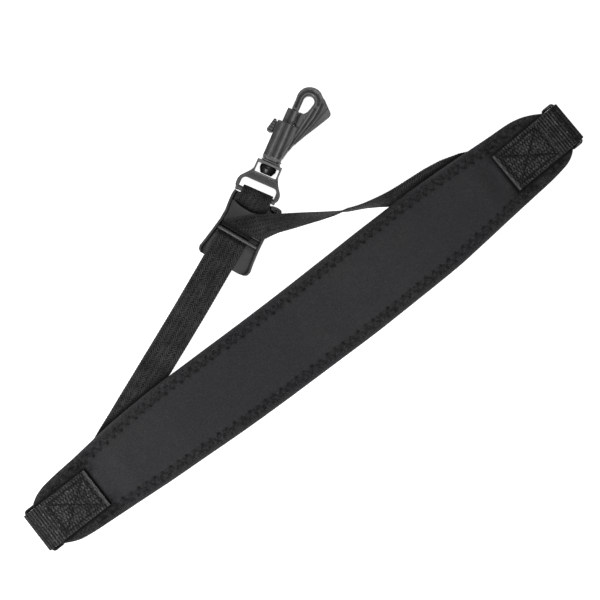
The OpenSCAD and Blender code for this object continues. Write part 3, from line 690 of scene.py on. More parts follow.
def build_pad():
    dense = np.unique(np.concatenate([np.linspace(-187, 187, 600), UPPER[:, 0]]))
    s = along(np.stack([dense, up_y(dense), 0 * dense], -1))
    xs = np.interp(np.linspace(0, s[-1], int(s[-1] / 0.62)), s, dense)
    E = np.array([0, .1, .3, .6, 1.0, 1.45, 1.9, 2.4, 2.9, 3.4, 3.9, 4.35, 4.8, 5.3, 5.8, 6.3, 6.8, 7.25, 7.7, 8.3, 9.2, 10.4])
    nc = 22
    yu, yl = up_y(xs), lo_y(xs)
    f = np.minimum(1, (yu - yl) / 2 / 13.5)
    rows = []
    for e in E:
        rows.append(yu - e * f)
    for k in range(1, nc):
        rows.append((yu - E[-1] * f) + ((yl + E[-1] * f) - (yu - E[-1] * f)) * k / nc)
    for e in E[::-1]:
        rows.append(yl + e * f)
    Y = np.stack(rows, 1)
    X = np.repeat(xs[:, None], Y.shape[1], 1)
    gu, gl = np.gradient(yu, xs)[:, None], np.gradient(yl, xs)[:, None]
    d_eff = np.minimum(np.minimum((yu[:, None] - Y) / np.sqrt(1 + gu ** 2), (Y - yl[:, None]) / np.sqrt(1 + gl ** 2)), 187 - np.abs(X) + 0.25)
    d_eff = np.maximum(d_eff, 0)
    z, dark, edge = pad_top(X.ravel(), Y.ravel())
    z, dark, edge = z.reshape(X.shape), dark.reshape(X.shape), edge.reshape(X.shape)
    mid = (under(X) + RIM_T * 0.46)
    q = np.sqrt(1 - (1 - np.minimum(d_eff / 2.1, 1)) ** 2)
    Zt = mid + (z - mid) * q
    sub = np.array(sorted(set(range(1, Y.shape[1] - 1, 3)) | {1, 2, 3, 5, Y.shape[1] - 2, Y.shape[1] - 3, Y.shape[1] - 4, Y.shape[1] - 6}))[::-1]
    Yb, Xb, db = Y[:, sub], X[:, sub], d_eff[:, sub]
    vb = np.clip((2 * Yb - (yu + yl)[:, None]) / (yu - yl)[:, None], -1, 1)
    qb = np.sqrt(1 - (1 - np.minimum(db / 1.5, 1)) ** 2)
    zb = under(Xb) + np.minimum(grid_read(swell_bot, Xb, vb), 0.2)
    zb = np.maximum(zb, 0.0)
    Zb = mid[:, sub] + (zb - mid[:, sub]) * qb
    n, k1 = Y.shape
    k2 = len(sub)
    K = k1 + k2
    co = np.concatenate([np.stack([X, Y, Zt], -1), np.stack([Xb, Yb, Zb], -1)], 1)
    idx = np.arange(n * K).reshape(n, K)
    nx = np.roll(idx, -1, 1)
    faces = np.stack([idx[:-1], idx[1:], nx[1:], nx[:-1]], -1).reshape(-1, 4)
    row = np.tile(np.arange(K), n - 1)
    fm = np.where(row < k1 - 1, 0, np.where((row == k1 - 1) | (row == K - 1), 1, 2))
    faces = faces.tolist()
    fm = fm.tolist()
    co = co.reshape(-1, 3)
    for r, flip in ((0, False), (n - 1, True)):
        c = len(co)
        co = np.concatenate([co, co[idx[r]].mean(0)[None]])
        for k in range(K):
            tri = [int(idx[r, k]), int(idx[r, (k + 1) % K]), c]
            faces.append(tri[::-1] if flip else tri)
            fm.append(1)
    z0 = np.zeros((n, k2))
    at = {"dots_and_painted_shade": np.concatenate([np.concatenate([dark, z0], 1).ravel(), [0, 0]]), "edge": np.concatenate([np.concatenate([edge, z0], 1).ravel(), [0, 0]])}
    ob = make("padded_band", co, faces, [M_BAND, M_FOAM, M_BACK], None, fm, at)
    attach(ob, "band_and_web")
    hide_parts("pad_front_panel", "pad_foam_core", "pad_back_panel")
    return ob


build_pad()


# zigzag seam: three stitches to each slant, each pulled in at its ends
def seam_paths():
    out = []
    for e, sgn, off in ((up_y, -1, 0.0), (lo_y, 1, -1.3)):
        x0 = math.ceil((-SEAM_END + 0.5) / 2.75) * 2.75
        knots = np.arange(x0, SEAM_END, 2.75)
        px, pd, lift = [], [], []
        for a in range(len(knots) - 1):
            i0 = int(round(knots[a] / 2.75)) % 2
            d0, d1 = (SEAM_OUT, SEAM_IN) if i0 == 0 else (SEAM_IN, SEAM_OUT)
            for t in np.linspace(0, 1, 13)[:-1]:
                px.append(knots[a] + 2.75 * t)
                pd.append(d0 + (d1 - d0) * t)
                lift.append(abs(math.sin(math.pi * t * 3)))
        px, pd, lift = np.array(px), np.array(pd), np.array(lift)
        x = px + off
        y = e(x) + sgn * pd
        z, _, _ = pad_top(x, y)
        out.append(np.stack([x, y, z - 0.10 + 0.24 * lift], -1))
    return out


seam = tube_piece("edge_seam", seam_paths(), 0.17, M_SEAM, sides=6)
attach(seam, "band_and_web")
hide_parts("edge_seam_thread")

# ------------------------------------------------------------------ webs
WEB_T, WEB_W, TAB_W, TAB_T = 1.2, 18.6, 25.2, 1.25
WEB_Z = AXIS_Z - 1.5 - 0.25 - 0.6
UPPER_Z = WEB_Z + WEB_T + 0.1
IN_BAR, OUT_BAR = (185.0, 2.3), (191.2, 6.6)
LOOP_R = 1.0 + 0.1 + 0.6
BAR_Y = -19.3
BAR_LOOP_R = 1.5 + 0.25 + 0.6
EDGE_Y = 4.6
OVER_PLATE = UPPER_Z + 0.6 + 0.2 + 1.2 + 0.2 + 0.6
TURN_R = (OVER_PLATE - UPPER_Z) / 2
RIGHT_TURN = math.radians(2.2)


def web_grid(p, s, width, step, window, cols, curl=None):
    a, e = smooth_path(p, s if curl is None else np.concatenate([s, np.asarray(curl, float)[:, None]], 1), step, window)
    side = e[:, :3]
    t = unit(np.gradient(a, axis=0))
    side = unit(side - t * (side * t).sum(1, keepdims=True))
    nrm = np.cross(t, side)
    v = np.linspace(-1, 1, cols)
    v = np.sign(v) * (1 - (1 - np.abs(v)) ** 1.25)
    v = v * width / 2
    M = a[:, None] + side[:, None] * v[None, :, None]
    if curl is not None:
        M = M + nrm[:, None] * ((v / (width / 2)) ** 2)[None, :, None] * e[:, 3][:, None, None]
    U = np.repeat(along(a)[:, None], cols, 1)
    V = np.repeat(v[None], len(a), 0)
    return M, U, V


def web_half(V, width, t, r=0.75):
    d = np.clip((width / 2 - np.abs(V)) / r, 0, 1)
    return t / 2 * np.sqrt(np.maximum(1 - (1 - d) ** 2, 0.01))


def web_piece(name, p, s, curl=None, window=1.6, step=0.45, cols=45, wear=None, mat=None):
    M, U, V = web_grid(p, s, WEB_W, step, window, cols, curl)
    return web_from_grid(name, M, U, V, wear, mat)


def web_from_grid(name, M, U, V, wear=None, mat=None):
    # selvedge: the filling thread turns round the edge every 1.7 mm
    lat = unit(np.gradient(M, axis=1))
    e = np.abs(V) / (WEB_W / 2)
    M = M - lat * (np.sign(V) * ease((e - 0.86) / 0.14) * 0.16 * (0.5 - 0.5 * np.cos(2 * math.pi * U / 1.8)))[..., None]
    half = web_half(V, WEB_W, WEB_T) * 0.94
    tri = 2.3 - np.abs(((V + 60) % 4.6) - 2.3)
    rel = 0.035 * np.sin(2 * math.pi * (U + tri * 1.2) / 1.2) + 0.03 * np.cos(2 * math.pi * V / 2.3)
    w = ease((e - 0.80) / 0.2) * 0.35 + 0.15 * np.clip(noise2(U, V, 6, 21), 0, 1)
    if wear is not None:
        w = w + wear(U, V)
    # painted shadow where it goes under the band's edge, the adjuster's bar and the plate's edge, and a fainter painted
    # shade over the right leg's start and the hook loop beside the adjuster; wear is kept off the shaded parts
    x, y = M[..., 0], M[..., 1]
    q = local(metres(M.reshape(-1, 3)), SL_O, SL_A)
    sx, sy = q[:, 0].reshape(x.shape), q[:, 1].reshape(x.shape)
    painted_shadow = ease((3.4 - (y - up_y(x.ravel()).reshape(x.shape))) / 2.6) * (np.abs(x) < 187) * 0.92
    hidden = (np.abs(sx) < 14) * 1.0
    if name == "web_left_leg":
        painted_shadow = np.maximum(painted_shadow, 0.95 * hidden * (np.exp(-((sy + 1.3) / 1.2) ** 2)))
    if name == "web_right_leg":
        painted_shadow = np.maximum(painted_shadow, 0.85 * hidden * ease((7.2 - sy) / 3.0))
        fade = ease((12 - sx) / 14) * ease((24 - sy) / 8) * 0.35 * hidden
        painted_shadow = np.maximum(painted_shadow, fade)
    if name == "web_hook_loop":
        painted_shadow = np.maximum(painted_shadow, 0.85 * hidden * ease((20.5 - sy) / 2.8))
        painted_shadow = np.maximum(painted_shadow, 0.25 * hidden)
    ob = shell(name, M, half, U, V, mat or M_WEB, rel, rel, {"wear": np.clip(w * (1 - painted_shadow), 0, 1), "shade": np.clip(painted_shadow, 0, 1)})
    return ob


def turned(p):
    """Right end: points given along the band's line, turned as the right tab is."""
    p = np.asarray(p, float)
    c, s = math.cos(RIGHT_TURN), math.sin(RIGHT_TURN)
    x, y = p[..., 0] - 184, p[..., 1]
    return np.stack([184 + x * c - y * s, -0.1 + x * s + y * c, p[..., 2]], -1)


def mirrored(p):
    p = np.asarray(p, float)
    return np.stack([-p[..., 0], p[..., 1] - 0.4, p[..., 2]], -1)


def flat_sides(p, roll):
    t = unit(np.gradient(p, axis=0))
    f = unit(np.stack([t[:, 1], -t[:, 0], 0 * t[:, 0]], -1))
    r = np.radians(roll)[:, None]
    return f * np.cos(r) + np.array([0, 0, 1.0]) * np.sin(r)


LEFT_FAR = np.array([-IN_BAR[0], -0.6, IN_BAR[1]])


def build_left_leg():
    tail = [LEFT_FAR + [24 - 4.5 * x, 0, -0.1 if x < 3 else 0.45 if x == 3 else 1.3] for x in range(5)]
    turn = [LEFT_FAR + [LOOP_R * math.cos(math.radians(a)), 0, LOOP_R * math.sin(math.radians(a))] for a in range(90, 271, 15)]
    run = catmull([LEFT_FAR + [3, 0, -LOOP_R], LEFT_FAR + [10, 0, 0.1 - LOOP_R], [-160, 1.6, 0.95], [-148, 6.7, 2.0], [-138, 11.3, WEB_Z],
                   [-126, 16.5, WEB_Z]], 3)
    bow = [[-125, 1.6], [-112, 1.4], [-100, 1.1], [-87, 0.85], [-75, 0.55], [-62, 0.3], [-50, 0.1], [-25, 0], [0, 0], [18, 0]]
    line = [slider_pt(-2.2 - b, s, WEB_Z) for s, b in bow]
    end = [hook_pt(0.1, BAR_Y - 5, WEB_Z), hook_pt(0.1, BAR_Y - 0.4, WEB_Z)]
    a = np.array(tail + turn)
    b = np.concatenate([run, line, end])
    s = np.concatenate([np.repeat([[0, -1, 0]], len(a) + 1, 0), flat_sides(b, np.zeros(len(b)))[1:len(run)], np.repeat(slider_right[None], len(line), 0),
                        [unit(slider_right + hook_right), hook_right]])
    ob = web_piece("web_left_leg", np.concatenate([a, b]), s, window=1.4)
    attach(ob, "band_and_web")
    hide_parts("strap_left_leg")


def edge_turn():
    return [slider_pt(-2.2, EDGE_Y + TURN_R * math.cos(math.radians(a)), (UPPER_Z + OVER_PLATE) / 2 + TURN_R * math.sin(math.radians(a))) for a in range(-90, -271, -20)]


def build_loop():
    bar = [hook_pt(0.1, BAR_Y - 0.35, WEB_Z)] + [hook_pt(0.1, BAR_Y + BAR_LOOP_R * math.cos(math.radians(a)), AXIS_Z + BAR_LOOP_R * math.sin(math.radians(a))) for a in range(-90, 91, 15)]
    back = [hook_pt(0.1, BAR_Y - 2.2, AXIS_Z + BAR_LOOP_R - 0.5), slider_pt(-2.1, 23.2, UPPER_Z + 1.25), slider_pt(-2.2, 20.8, UPPER_Z + 0.1),
            slider_pt(-2.2, 17.6, UPPER_Z), slider_pt(-2.2, 9, UPPER_Z), slider_pt(-2.2, EDGE_Y, UPPER_Z)]
    turn = edge_turn()[1:]
    p = np.array(bar + back + turn)
    s = np.concatenate([np.repeat(hook_right[None], len(bar) + 1, 0), [unit(slider_right + hook_right)], np.repeat(slider_right[None], 4 + len(turn), 0)])
    ob = web_piece("web_hook_loop", p, s, window=1.0, step=0.4)
    metres(slider_pt(-2.2, 25.5, 4))
    metres(slider_pt(-2.2, 7, 4))
    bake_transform(ob)
    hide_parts("strap_hook_loop")


# the right leg's two edges: upper edge x, y, z; lower edge x, y, z; how late the web rises between them
def sl(x, y, z):
    return slider_pt(x, y, z).tolist()


RIGHT_EDGES = [
    sl(-11.4, 5.6, 6.6) + sl(7.2, 5.0, 6.6) + [1],
    sl(-8.6, 7.6, 6.7) + sl(9.9, 5.6, 7.3) + [1],
    sl(-5.4, 10.4, 6.8) + sl(12.3, 6.2, 8.2) + [1],
    sl(-2.0, 13.4, 7.0) + sl(14.4, 7.0, 9.0) + [1.1],
    [17.3, 68.3, 7.6, 17.2, 52.3, 11.5, 1.2],
    [22.75, 64.3, 7.9, 22.2, 51.0, 15.0, 1.3],
    [30.4, 58.8, 6.6, 30.0, 47.9, 18.0, 1.3],
    [37.0, 54.2, 4.8, 37.5, 45.1, 19.4, 1.2],
    [44.0, 49.2, 3.2, 45.3, 42.2, 19.9, 1.1],
    [52.5, 43.1, 1.8, 53.0, 39.6, 20.0, 1.0],
    [61.0, 37.2, 1.1, 61.0, 37.9, 19.6, 1.0],
    [66.0, 34.6, 0.9, 65.6, 36.0, 19.3, 1.0],
    [71.0, 32.0, 0.8, 70.3, 34.5, 18.6, 1.1],
    [77.0, 28.0, 0.8, 75.6, 33.3, 16.8, 1.4],
    [82.5, 23.5, 0.8, 81.0, 32.3, 14.2, 2.0],
    [88.0, 18.5, 1.0, 86.8, 31.5, 10.2, 2.4],
    [95.0, 14.3, 1.5, 93.5, 31.0, 6.4, 2.4],
    [103.0, 12.1, 2.1, 101.5, 30.4, 3.6, 1.8],
    [111.0, 11.2, 2.3, 110.5, 29.6, 2.5, 1.0],
    [121.5, 9.2, 2.3, 121.0, 27.8, 2.3, 1.0],
    [131.0, 5.6, 2.3, 132.5, 24.2, 2.3, 1.0],
]


def build_right_leg():
    e = edge_turn()[-1]
    d = slider_pt(0, 1, 0) - slider_pt(0, 0, 0)
    first = [np.concatenate([e + d * k - 9.3 * slider_right, e + d * k + 9.3 * slider_right, [1]]) for k in (-0.05, 0.3)]
    far = np.array([[150, 8.2, 1.9], [162, 3.9, 0.95], [172, 1.4, 0.75]])
    bend = np.array([turned([IN_BAR[0] - 6, 0, IN_BAR[1] + 0.05 - LOOP_R]), turned([IN_BAR[0] - 2.5, 0, IN_BAR[1] - LOOP_R])])
    turn = np.array([turned([IN_BAR[0] + LOOP_R * math.cos(math.radians(a)), 0, IN_BAR[1] + LOOP_R * math.sin(math.radians(a))]) for a in range(-90, 91, 15)])
    tail = np.array([turned([IN_BAR[0] - 24 + 4.5 * x, 0, IN_BAR[1] + (-0.1 if x < 3 else 0.45 if x == 3 else 1.3)]) for x in (4, 3, 2, 1, 0)])
    side = np.array([-math.sin(RIGHT_TURN), math.cos(RIGHT_TURN), 0])
    dirs = unit(np.array([[-0.32, 0.95, 0], [-0.22, 0.975, 0], side]))
    rest = [np.concatenate([p - 9.3 * s, p + 9.3 * s, [1]]) for p, s in list(zip(far, dirs)) + [(p, side) for p in np.concatenate([bend, turn, tail])]]
    T = np.array([list(r) for r in first] + RIGHT_EDGES + [list(r) for r in rest])
    mid = (T[:, :3] + T[:, 3:6]) / 2
    a, ev = smooth_path(mid, T, 0.45, 3.0)
    cols = 45
    w = np.linspace(-1, 1, cols)
    w = np.sign(w) * (1 - (1 - np.abs(w)) ** 1.25)
    f = (w + 1) / 2
    A, B, k = ev[:, None, :3], ev[:, None, 3:6], ev[:, 6][:, None]
    M = A * (1 - f)[None, :, None] + B * f[None, :, None]
    M[..., 2] = ev[:, 2][:, None] + (ev[:, 5] - ev[:, 2])[:, None] * f[None] ** k
    V = np.repeat((w * WEB_W / 2)[None], len(a), 0)
    U = np.repeat(along(a)[:, None], cols, 1)
    ob = web_from_grid("web_right_leg", M, U, V)
    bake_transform(ob)
    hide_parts("strap_right_leg")


build_left_leg()
build_loop()
build_right_leg()


# ------------------------------------------------------------------ end tabs, rings and threads
def box_lines(a, b):
    y, g, m = TAB_W / 2 - 2.8, 0.9, (a + b) / 2
    return [[(a, y), (b, y)], [(a, -y), (b, -y)], [(a, -y + g), (a, y - g)], [(b, -y + g), (b, y - g)], [(a + g, -y + g), (b - g, y - g)],
            [(a + g, y - g), (m - 1.2, 1)], [(m + 1.2, -1), (b - g, -y + g)]]


def build_tab(name, inner, place, box, thread_name):
    h, r = TAB_T / 2 + 0.15, 1.0 + 0.15 + TAB_T / 2
    top = [[x, 0, over(x) + h] for x in np.arange(inner, 184.5, 1.0)]
    p = np.array(top + [[186.4, 0, over(187) + h], [188.4, 0, over(187) + h - 0.4]]
                 + [[OUT_BAR[0] + r * math.cos(math.radians(a)), 0, OUT_BAR[1] + r * math.sin(math.radians(a))] for a in range(55, -91, -15)]
                 + [[189, 0, under(187) - h - 0.35], [186.6, 0, under(187) - h]]
                 + [[x, 0, under(x) - h] for x in np.arange(183, inner + 4, -1.0)])
    a, _ = smooth_path(p, p, 0.36, 1.1)
    cols = 73
    v = np.linspace(-TAB_W / 2, TAB_W / 2, cols)
    M = np.repeat(a[:, None], cols, 1)
    M[..., 1] = v[None]
    U = np.repeat(along(a)[:, None], cols, 1)
    V = np.repeat(v[None], len(a), 0)
    x, upper = M[..., 0], (U < (187 - inner) + 4)
    face = upper & (x < 186)
    # selvedges run nearly straight; the inner end is folded under, so it stands a little higher
    hem = ease((inner + 1.9 - x) / 0.7) * face
    groove = np.exp(-((x - (inner + 2.7)) / 0.65) ** 2) * face
    relief = 0.30 * hem * ease((U - 0.05) / 0.5) - 0.22 * groove
    wide = ease((x - (box[1] + 0.5)) / 2) * (U < (193.5 - inner) + 1)
    weave = np.sin(2 * math.pi * U / 1.6)
    basket = np.sin(2 * math.pi * U / 1.75 + math.pi * (np.floor((V + 60) / 2.8) % 2))
    relief = relief + np.where(upper, wide * 0.16 * weave + (1 - wide) * (1 - hem) * 0.08 * basket, 0)
    shade = 0.85 * groove * (0.75 + 0.25 * noise2(x, V, 1.4, 34))
    for (x0, y0), (x1, y1) in box_lines(*box):
        L = math.hypot(x1 - x0, y1 - y0)
        t = np.clip(((x - x0) * (x1 - x0) + (V - y0) * (y1 - y0)) / L ** 2, 0, 1)
        dd = np.hypot(x - x0 - t * (x1 - x0), V - y0 - t * (y1 - y0))
        g = np.exp(-(dd / 0.8) ** 2) * face
        relief = relief - 0.16 * g
        shade = np.maximum(shade, 0.85 * g * (0.8 + 0.2 * noise2(x, V, 1.3, 35)))
    relief = relief + 0.08 * noise2(U, V, 5, 31) * face
    e = np.abs(V) / (TAB_W / 2)
    lat = np.sign(V) * ease((e - 0.93) / 0.07) * 0.14 * (0.5 - 0.5 * np.cos(2 * math.pi * U / 1.6))
    M = M.copy()
    M[..., 1] -= lat
    half = web_half(V, TAB_W, TAB_T, 0.7) * 0.94
    wear = np.clip(0.95 * np.exp(-((x - inner - 0.8) / 0.75) ** 2) * face * (0.8 + 0.2 * noise2(x, V, 2, 32)) + 0.25 * hem + 0.30 * ease((e - 0.94) / 0.06) * face + 0.1 * np.clip(noise2(U, V, 4, 33), 0, 1), 0, 1)
    # near the ring the rib crests are painted lighter, as highlight, and the troughs darker, as shade; past x 187.2,
    # where the web folds round the ring's bar, it is painted darker, as shade
    wear = np.clip(wear + wide * 0.30 * np.clip(weave, 0, 1) * (x < 187) * (0.7 + 0.3 * noise2(U, V, 3, 36)), 0, 1)
    shade = np.clip(shade + 0.55 * ease((x - 187.2) / 2.0) + wide * 0.5 * np.clip(-weave, 0, 1) * (x < 187), 0, 1)
    ob = shell(name, place(M), half, U, V, M_TAB, np.maximum(relief, -0.35), np.zeros_like(relief),
               {"wear": wear, "shade": shade, "basket": (1 - wide)})
    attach(ob, "band_and_web")
    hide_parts(name.replace("_web", ""))

    # box and cross stitches: each stitch bows up between its two needle holes
    paths = []
    for (x0, y0), (x1, y1) in box_lines(*box):
        L = math.hypot(x1 - x0, y1 - y0)
        n = max(int(round(L / 2.6)), 1)
        t = np.linspace(0, 1, n * 8 + 1)
        bow = np.abs(np.sin(math.pi * t * n))
        px, py = x0 + (x1 - x0) * t, y0 + (y1 - y0) * t
        paths.append(place(np.stack([px, py, over(px) + 0.15 + TAB_T - 0.28 + 0.34 * bow], -1)))
    th = tube_piece(thread_name, paths, 0.24, M_BOX, sides=6)
    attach(th, "band_and_web")
    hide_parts(thread_name.replace("_stitches", "_thread"))


build_tab("left_tab_web", 149.5, mirrored, (153, 178.5), "left_tab_stitches")
build_tab("right_tab_web", 145.5, turned, (149, 175), "right_tab_stitches")


def build_ring(name, place):
    i, o = np.array([IN_BAR[0], IN_BAR[1]]), np.array([OUT_BAR[0], OUT_BAR[1]])
    d = o - i
    L, c = float(np.hypot(*d)), 1.3
    w = 27.2 / 2
    loop = []
    for cx, cy, a0 in ((L - c, w - c, 0), (c, w - c, 90), (c, -w + c, 180), (L - c, -w + c, 270)):
        for a in range(0, 91, 10):
            loop.append([cx + c * math.cos(math.radians(a0 + a)), cy + c * math.sin(math.radians(a0 + a))])
    loop = np.array(loop)
    full = []
    for k in range(len(loop)):
        p, q = loop[k], loop[(k + 1) % len(loop)]
        n = max(int(np.linalg.norm(q - p) / 1.2), 1)
        full += [p + (q - p) * t / n for t in range(n)]
    full = np.array(full)
    pts = np.stack([i[0] + d[0] * full[:, 0] / L, full[:, 1], i[1] + d[1] * full[:, 0] / L], -1)
    ob = tube_piece(name, [place(pts)], 1.0, M_RING, sides=20, closed=True)
    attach(ob, "band_and_web")
    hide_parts(name.replace("_wire", ""))


build_ring("left_ring_wire", mirrored)
build_ring("right_ring_wire", turned)


def build_tacks():
    paths = []
    for x in (168.0, 172.5):
        for s in (-1, 1):
            z = IN_BAR[1] - 0.1 + 0.6 + (0.4 if x > 170 else 0.05) + 0.12
            y = np.arange(-6.8, 6.81, 0.11)
            paths.append(np.stack([s * x + 0.5 * np.sign(np.sin(2 * math.pi * y / 0.5)) * np.abs(np.sin(2 * math.pi * y / 0.5)) ** 0.4, y - 0.5, z + 0 * y], -1))
    ob = tube_piece("leg_end_tacks", paths, 0.13, M_TACK, sides=6)
    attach(ob, "band_and_web")
    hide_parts("leg_end_bartacks")


build_tacks()


# ------------------------------------------------------------------ moulded parts
def moulded(name, node, voxel, mat, shape=None, passes=5, factor=0.5, after=2):
    """The CAD part's form as a moulding: fine even mesh, edges rounded, then ribs and flutes worked into its faces."""
    src = frame["nodes"][node]
    me = src.data.copy()
    me.name = name
    me.materials.clear()
    me.materials.append(mat)
    me.transform(Matrix.Scale(100, 4))
    ob = bpy.data.objects.new(name, me)
    bpy.context.scene.collection.objects.link(ob)
    w = ob.modifiers.new("weld", "WELD")
    w.merge_threshold = 0.002
    r = ob.modifiers.new("remesh", "REMESH")
    r.mode = "VOXEL"
    r.voxel_size = voxel / 10
    r.use_smooth_shade = True
    s = ob.modifiers.new("smooth", "SMOOTH")
    s.factor, s.iterations = factor, passes
    dg = bpy.context.evaluated_depsgraph_get()
    new = bpy.data.meshes.new_from_object(ob.evaluated_get(dg), depsgraph=dg)
    ob.modifiers.clear()
    ob.data = new
    new.name = name
    new.transform(Matrix.Scale(0.01, 4))
    if shape is not None:
        co = np.zeros(len(new.vertices) * 3)
        new.vertices.foreach_get("co", co)
        co = co.reshape(-1, 3)
        nr = np.zeros(len(new.vertices) * 3)
        new.vertices.foreach_get("normal", nr)
        co, painted_shading_and_mottle = shape(co, nr.reshape(-1, 3))
        new.vertices.foreach_set("co", co.ravel())
        at = new.attributes.new("painted_shading_and_mottle", "FLOAT", "POINT")
        at.data.foreach_set("value", np.clip(painted_shading_and_mottle, -1, 1).astype(np.float32))
        new.update()
    if after:
        s = ob.modifiers.new("finish", "SMOOTH")
        s.factor, s.iterations = 0.5, after
        dg = bpy.context.evaluated_depsgraph_get()
        fin = bpy.data.meshes.new_from_object(ob.evaluated_get(dg), depsgraph=dg)
        ob.modifiers.clear()
        ob.data = fin
        fin.name = name
    ob.data.materials.clear()
    ob.data.materials.append(mat)
    ob.data.polygons.foreach_set("use_smooth", np.full(len(ob.data.polygons), True))
    return ob


def dist_line(x, y, pts):
    d = np.full(len(x), 1e9)
    for (x0, y0), (x1, y1) in zip(pts[:-1], pts[1:]):
        L = (x1 - x0) ** 2 + (y1 - y0) ** 2
        t = np.clip(((x - x0) * (x1 - x0) + (y - y0) * (y1 - y0)) / L, 0, 1)
        d = np.minimum(d, np.hypot(x - x0 - t * (x1 - x0), y - y0 - t * (y1 - y0)))
    return d


HOOK_RIBS = [  # line in the hook's own frame, half width, height, painted shading (highlight above 0, shade below 0)
    ([(-4.7, 5), (-4.7, 24)], 0.75, -0.70, -0.75),
    ([(-2.5, 4.5), (-2.4, 24)], 0.75, 0.40, 0.55),
    ([(-0.3, 5), (-0.2, 25)], 0.50, -0.65, -0.80),
    ([(1.7, 4.5), (1.7, 25)], 0.75, 0.55, 0.95),
    ([(3.4, 4.8), (3.5, 25)], 0.45, -0.65, -0.80),
    ([(4.7, 5), (5.2, 10), (7.0, 20), (9.3, 33), (10.2, 38.5)], 0.50, 0.55, 0.80),
    ([(5.9, 14), (6.6, 19), (7.4, 26), (7.9, 31)], 0.40, -0.40, -0.45),
    ([(6.3, 12), (7.6, 19), (9.6, 28), (10.7, 34), (11.4, 39.5)], 0.40, -0.60, -0.85),
    ([(7.3, 13.5), (8.8, 20), (10.9, 28.5), (12.3, 34.5), (12.9, 41.5)], 0.50, 0.45, 0.75),
    ([(8.4, 16.5), (10.6, 25), (12.9, 33), (14.0, 39.5), (13.9, 43.5)], 0.50, -0.60, -0.85),
    ([(9.6, 18.5), (12.0, 26), (14.3, 33.5), (15.3, 39), (15.2, 44.2)], 0.40, 0.25, 0.40),
    ([(4.35, 26), (4.35, 33.2)], 0.50, -0.90, -1.0),
    ([(-0.6, 36), (-0.5, 43), (0.5, 46), (2.6, 48.4), (6.4, 49.5), (9.4, 48.9), (12.4, 46.6)], 0.50, 0.30, 0.45),
    ([(0.6, 36), (0.6, 42.4), (1.7, 45.2), (3.7, 47.1), (6.4, 47.9), (9.2, 47.1), (11.6, 44.9), (12, 42)], 0.50, -0.60, -0.80),
    ([(1.9, 35.5), (1.8, 42), (2.8, 44.7), (4.4, 46), (6.2, 46.3), (8.2, 45.7), (9.8, 44.2), (10.6, 41.6)], 0.45, 0.35, 0.65),
]


def hook_shape(co, nr):
    p = local(co, HK_O, HK_A)
    x, y, z = p[:, 0], p[:, 1], p[:, 2] - AXIS_Z
    up = ease((nr[:, 2] * np.sign(z) - 0.45) / 0.35) * ease((np.abs(z) - 1.5) / 1.0)
    h, shading_and_mottle = np.zeros(len(x)), np.zeros(len(x))
    for line, w, a, tn in HOOK_RIBS:
        g = np.exp(-(dist_line(x, y, line) / w) ** 2)
        h += a * g
        shading_and_mottle += tn * g * np.where(y < 26, 0.72, 0.92)
    fin = ease((x - (10.6 + (y - 22) * 0.33)) / 1.0) * ease((y - 22) / 3) * ease((44.5 - y) / 1.5)
    h = h - 0.45 * fin
    shading_and_mottle = shading_and_mottle * (1 - fin * 0.6) + 0.12 * fin
    # the rim round the eye falls away into shade
    eye = np.minimum(np.hypot(x - 6.15, y - 41.6) - 3.25, 9)
    shading_and_mottle = shading_and_mottle - 0.85 * np.exp(-(np.maximum(eye, 0) / 0.7) ** 2) * (y > 36)
    # the foot of the barrel, the collar's groove and the seat of the ribs: painted shade in the groove and painted
    # highlights beside it, with the ribs' painted shading fading out towards the foot
    band = np.exp(-((y - 1.9) / 0.55) ** 2)
    shading_and_mottle = shading_and_mottle * ease((y - 3.6) / 1.6) - 0.95 * band + 0.5 * np.exp(-((y - 3.6) / 0.6) ** 2) * (x > -1) + 0.35 * np.exp(-((y - 0.7) / 0.4) ** 2)
    shading_and_mottle = shading_and_mottle + 0.12 * noise2(x, y, 3.0, 41)
    # the part's sides are painted darker, as shade
    side = 1 - ease((np.abs(nr[:, 2]) - 0.15) / 0.4)
    shading_and_mottle = shading_and_mottle * (1 - side) - 0.35 * side
    shading_and_mottle = shading_and_mottle + 0.10 * noise2(x, y, 1.1, 42)
    r = np.hypot(x, z)
    out = co.copy()
    out[:, 2] += np.sign(z) * h * up / 1000
    near = ease((r - 2.8) / 0.8) * (y < 3.4) * band * 0.5 / 1000
    radial = (x[:, None] * hook_right[None] + z[:, None] * np.array([0, 0, 1.0])[None]) / np.maximum(r, 0.1)[:, None]
    # the slot's side closes up against the gate
    slot = np.exp(-((x - 3.85) / 0.4) ** 2) * ease((y - 25.6) / 0.5) * ease((34.2 - y) / 0.5) * 0.18 / 1000
    return out - radial * near[:, None] - hook_right[None] * slot[:, None], shading_and_mottle


hook = moulded("hook_moulding", "hook_body", 0.26, M_HOOK, hook_shape, passes=4, after=1)
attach(hook, "hook")
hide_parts("hook_body")


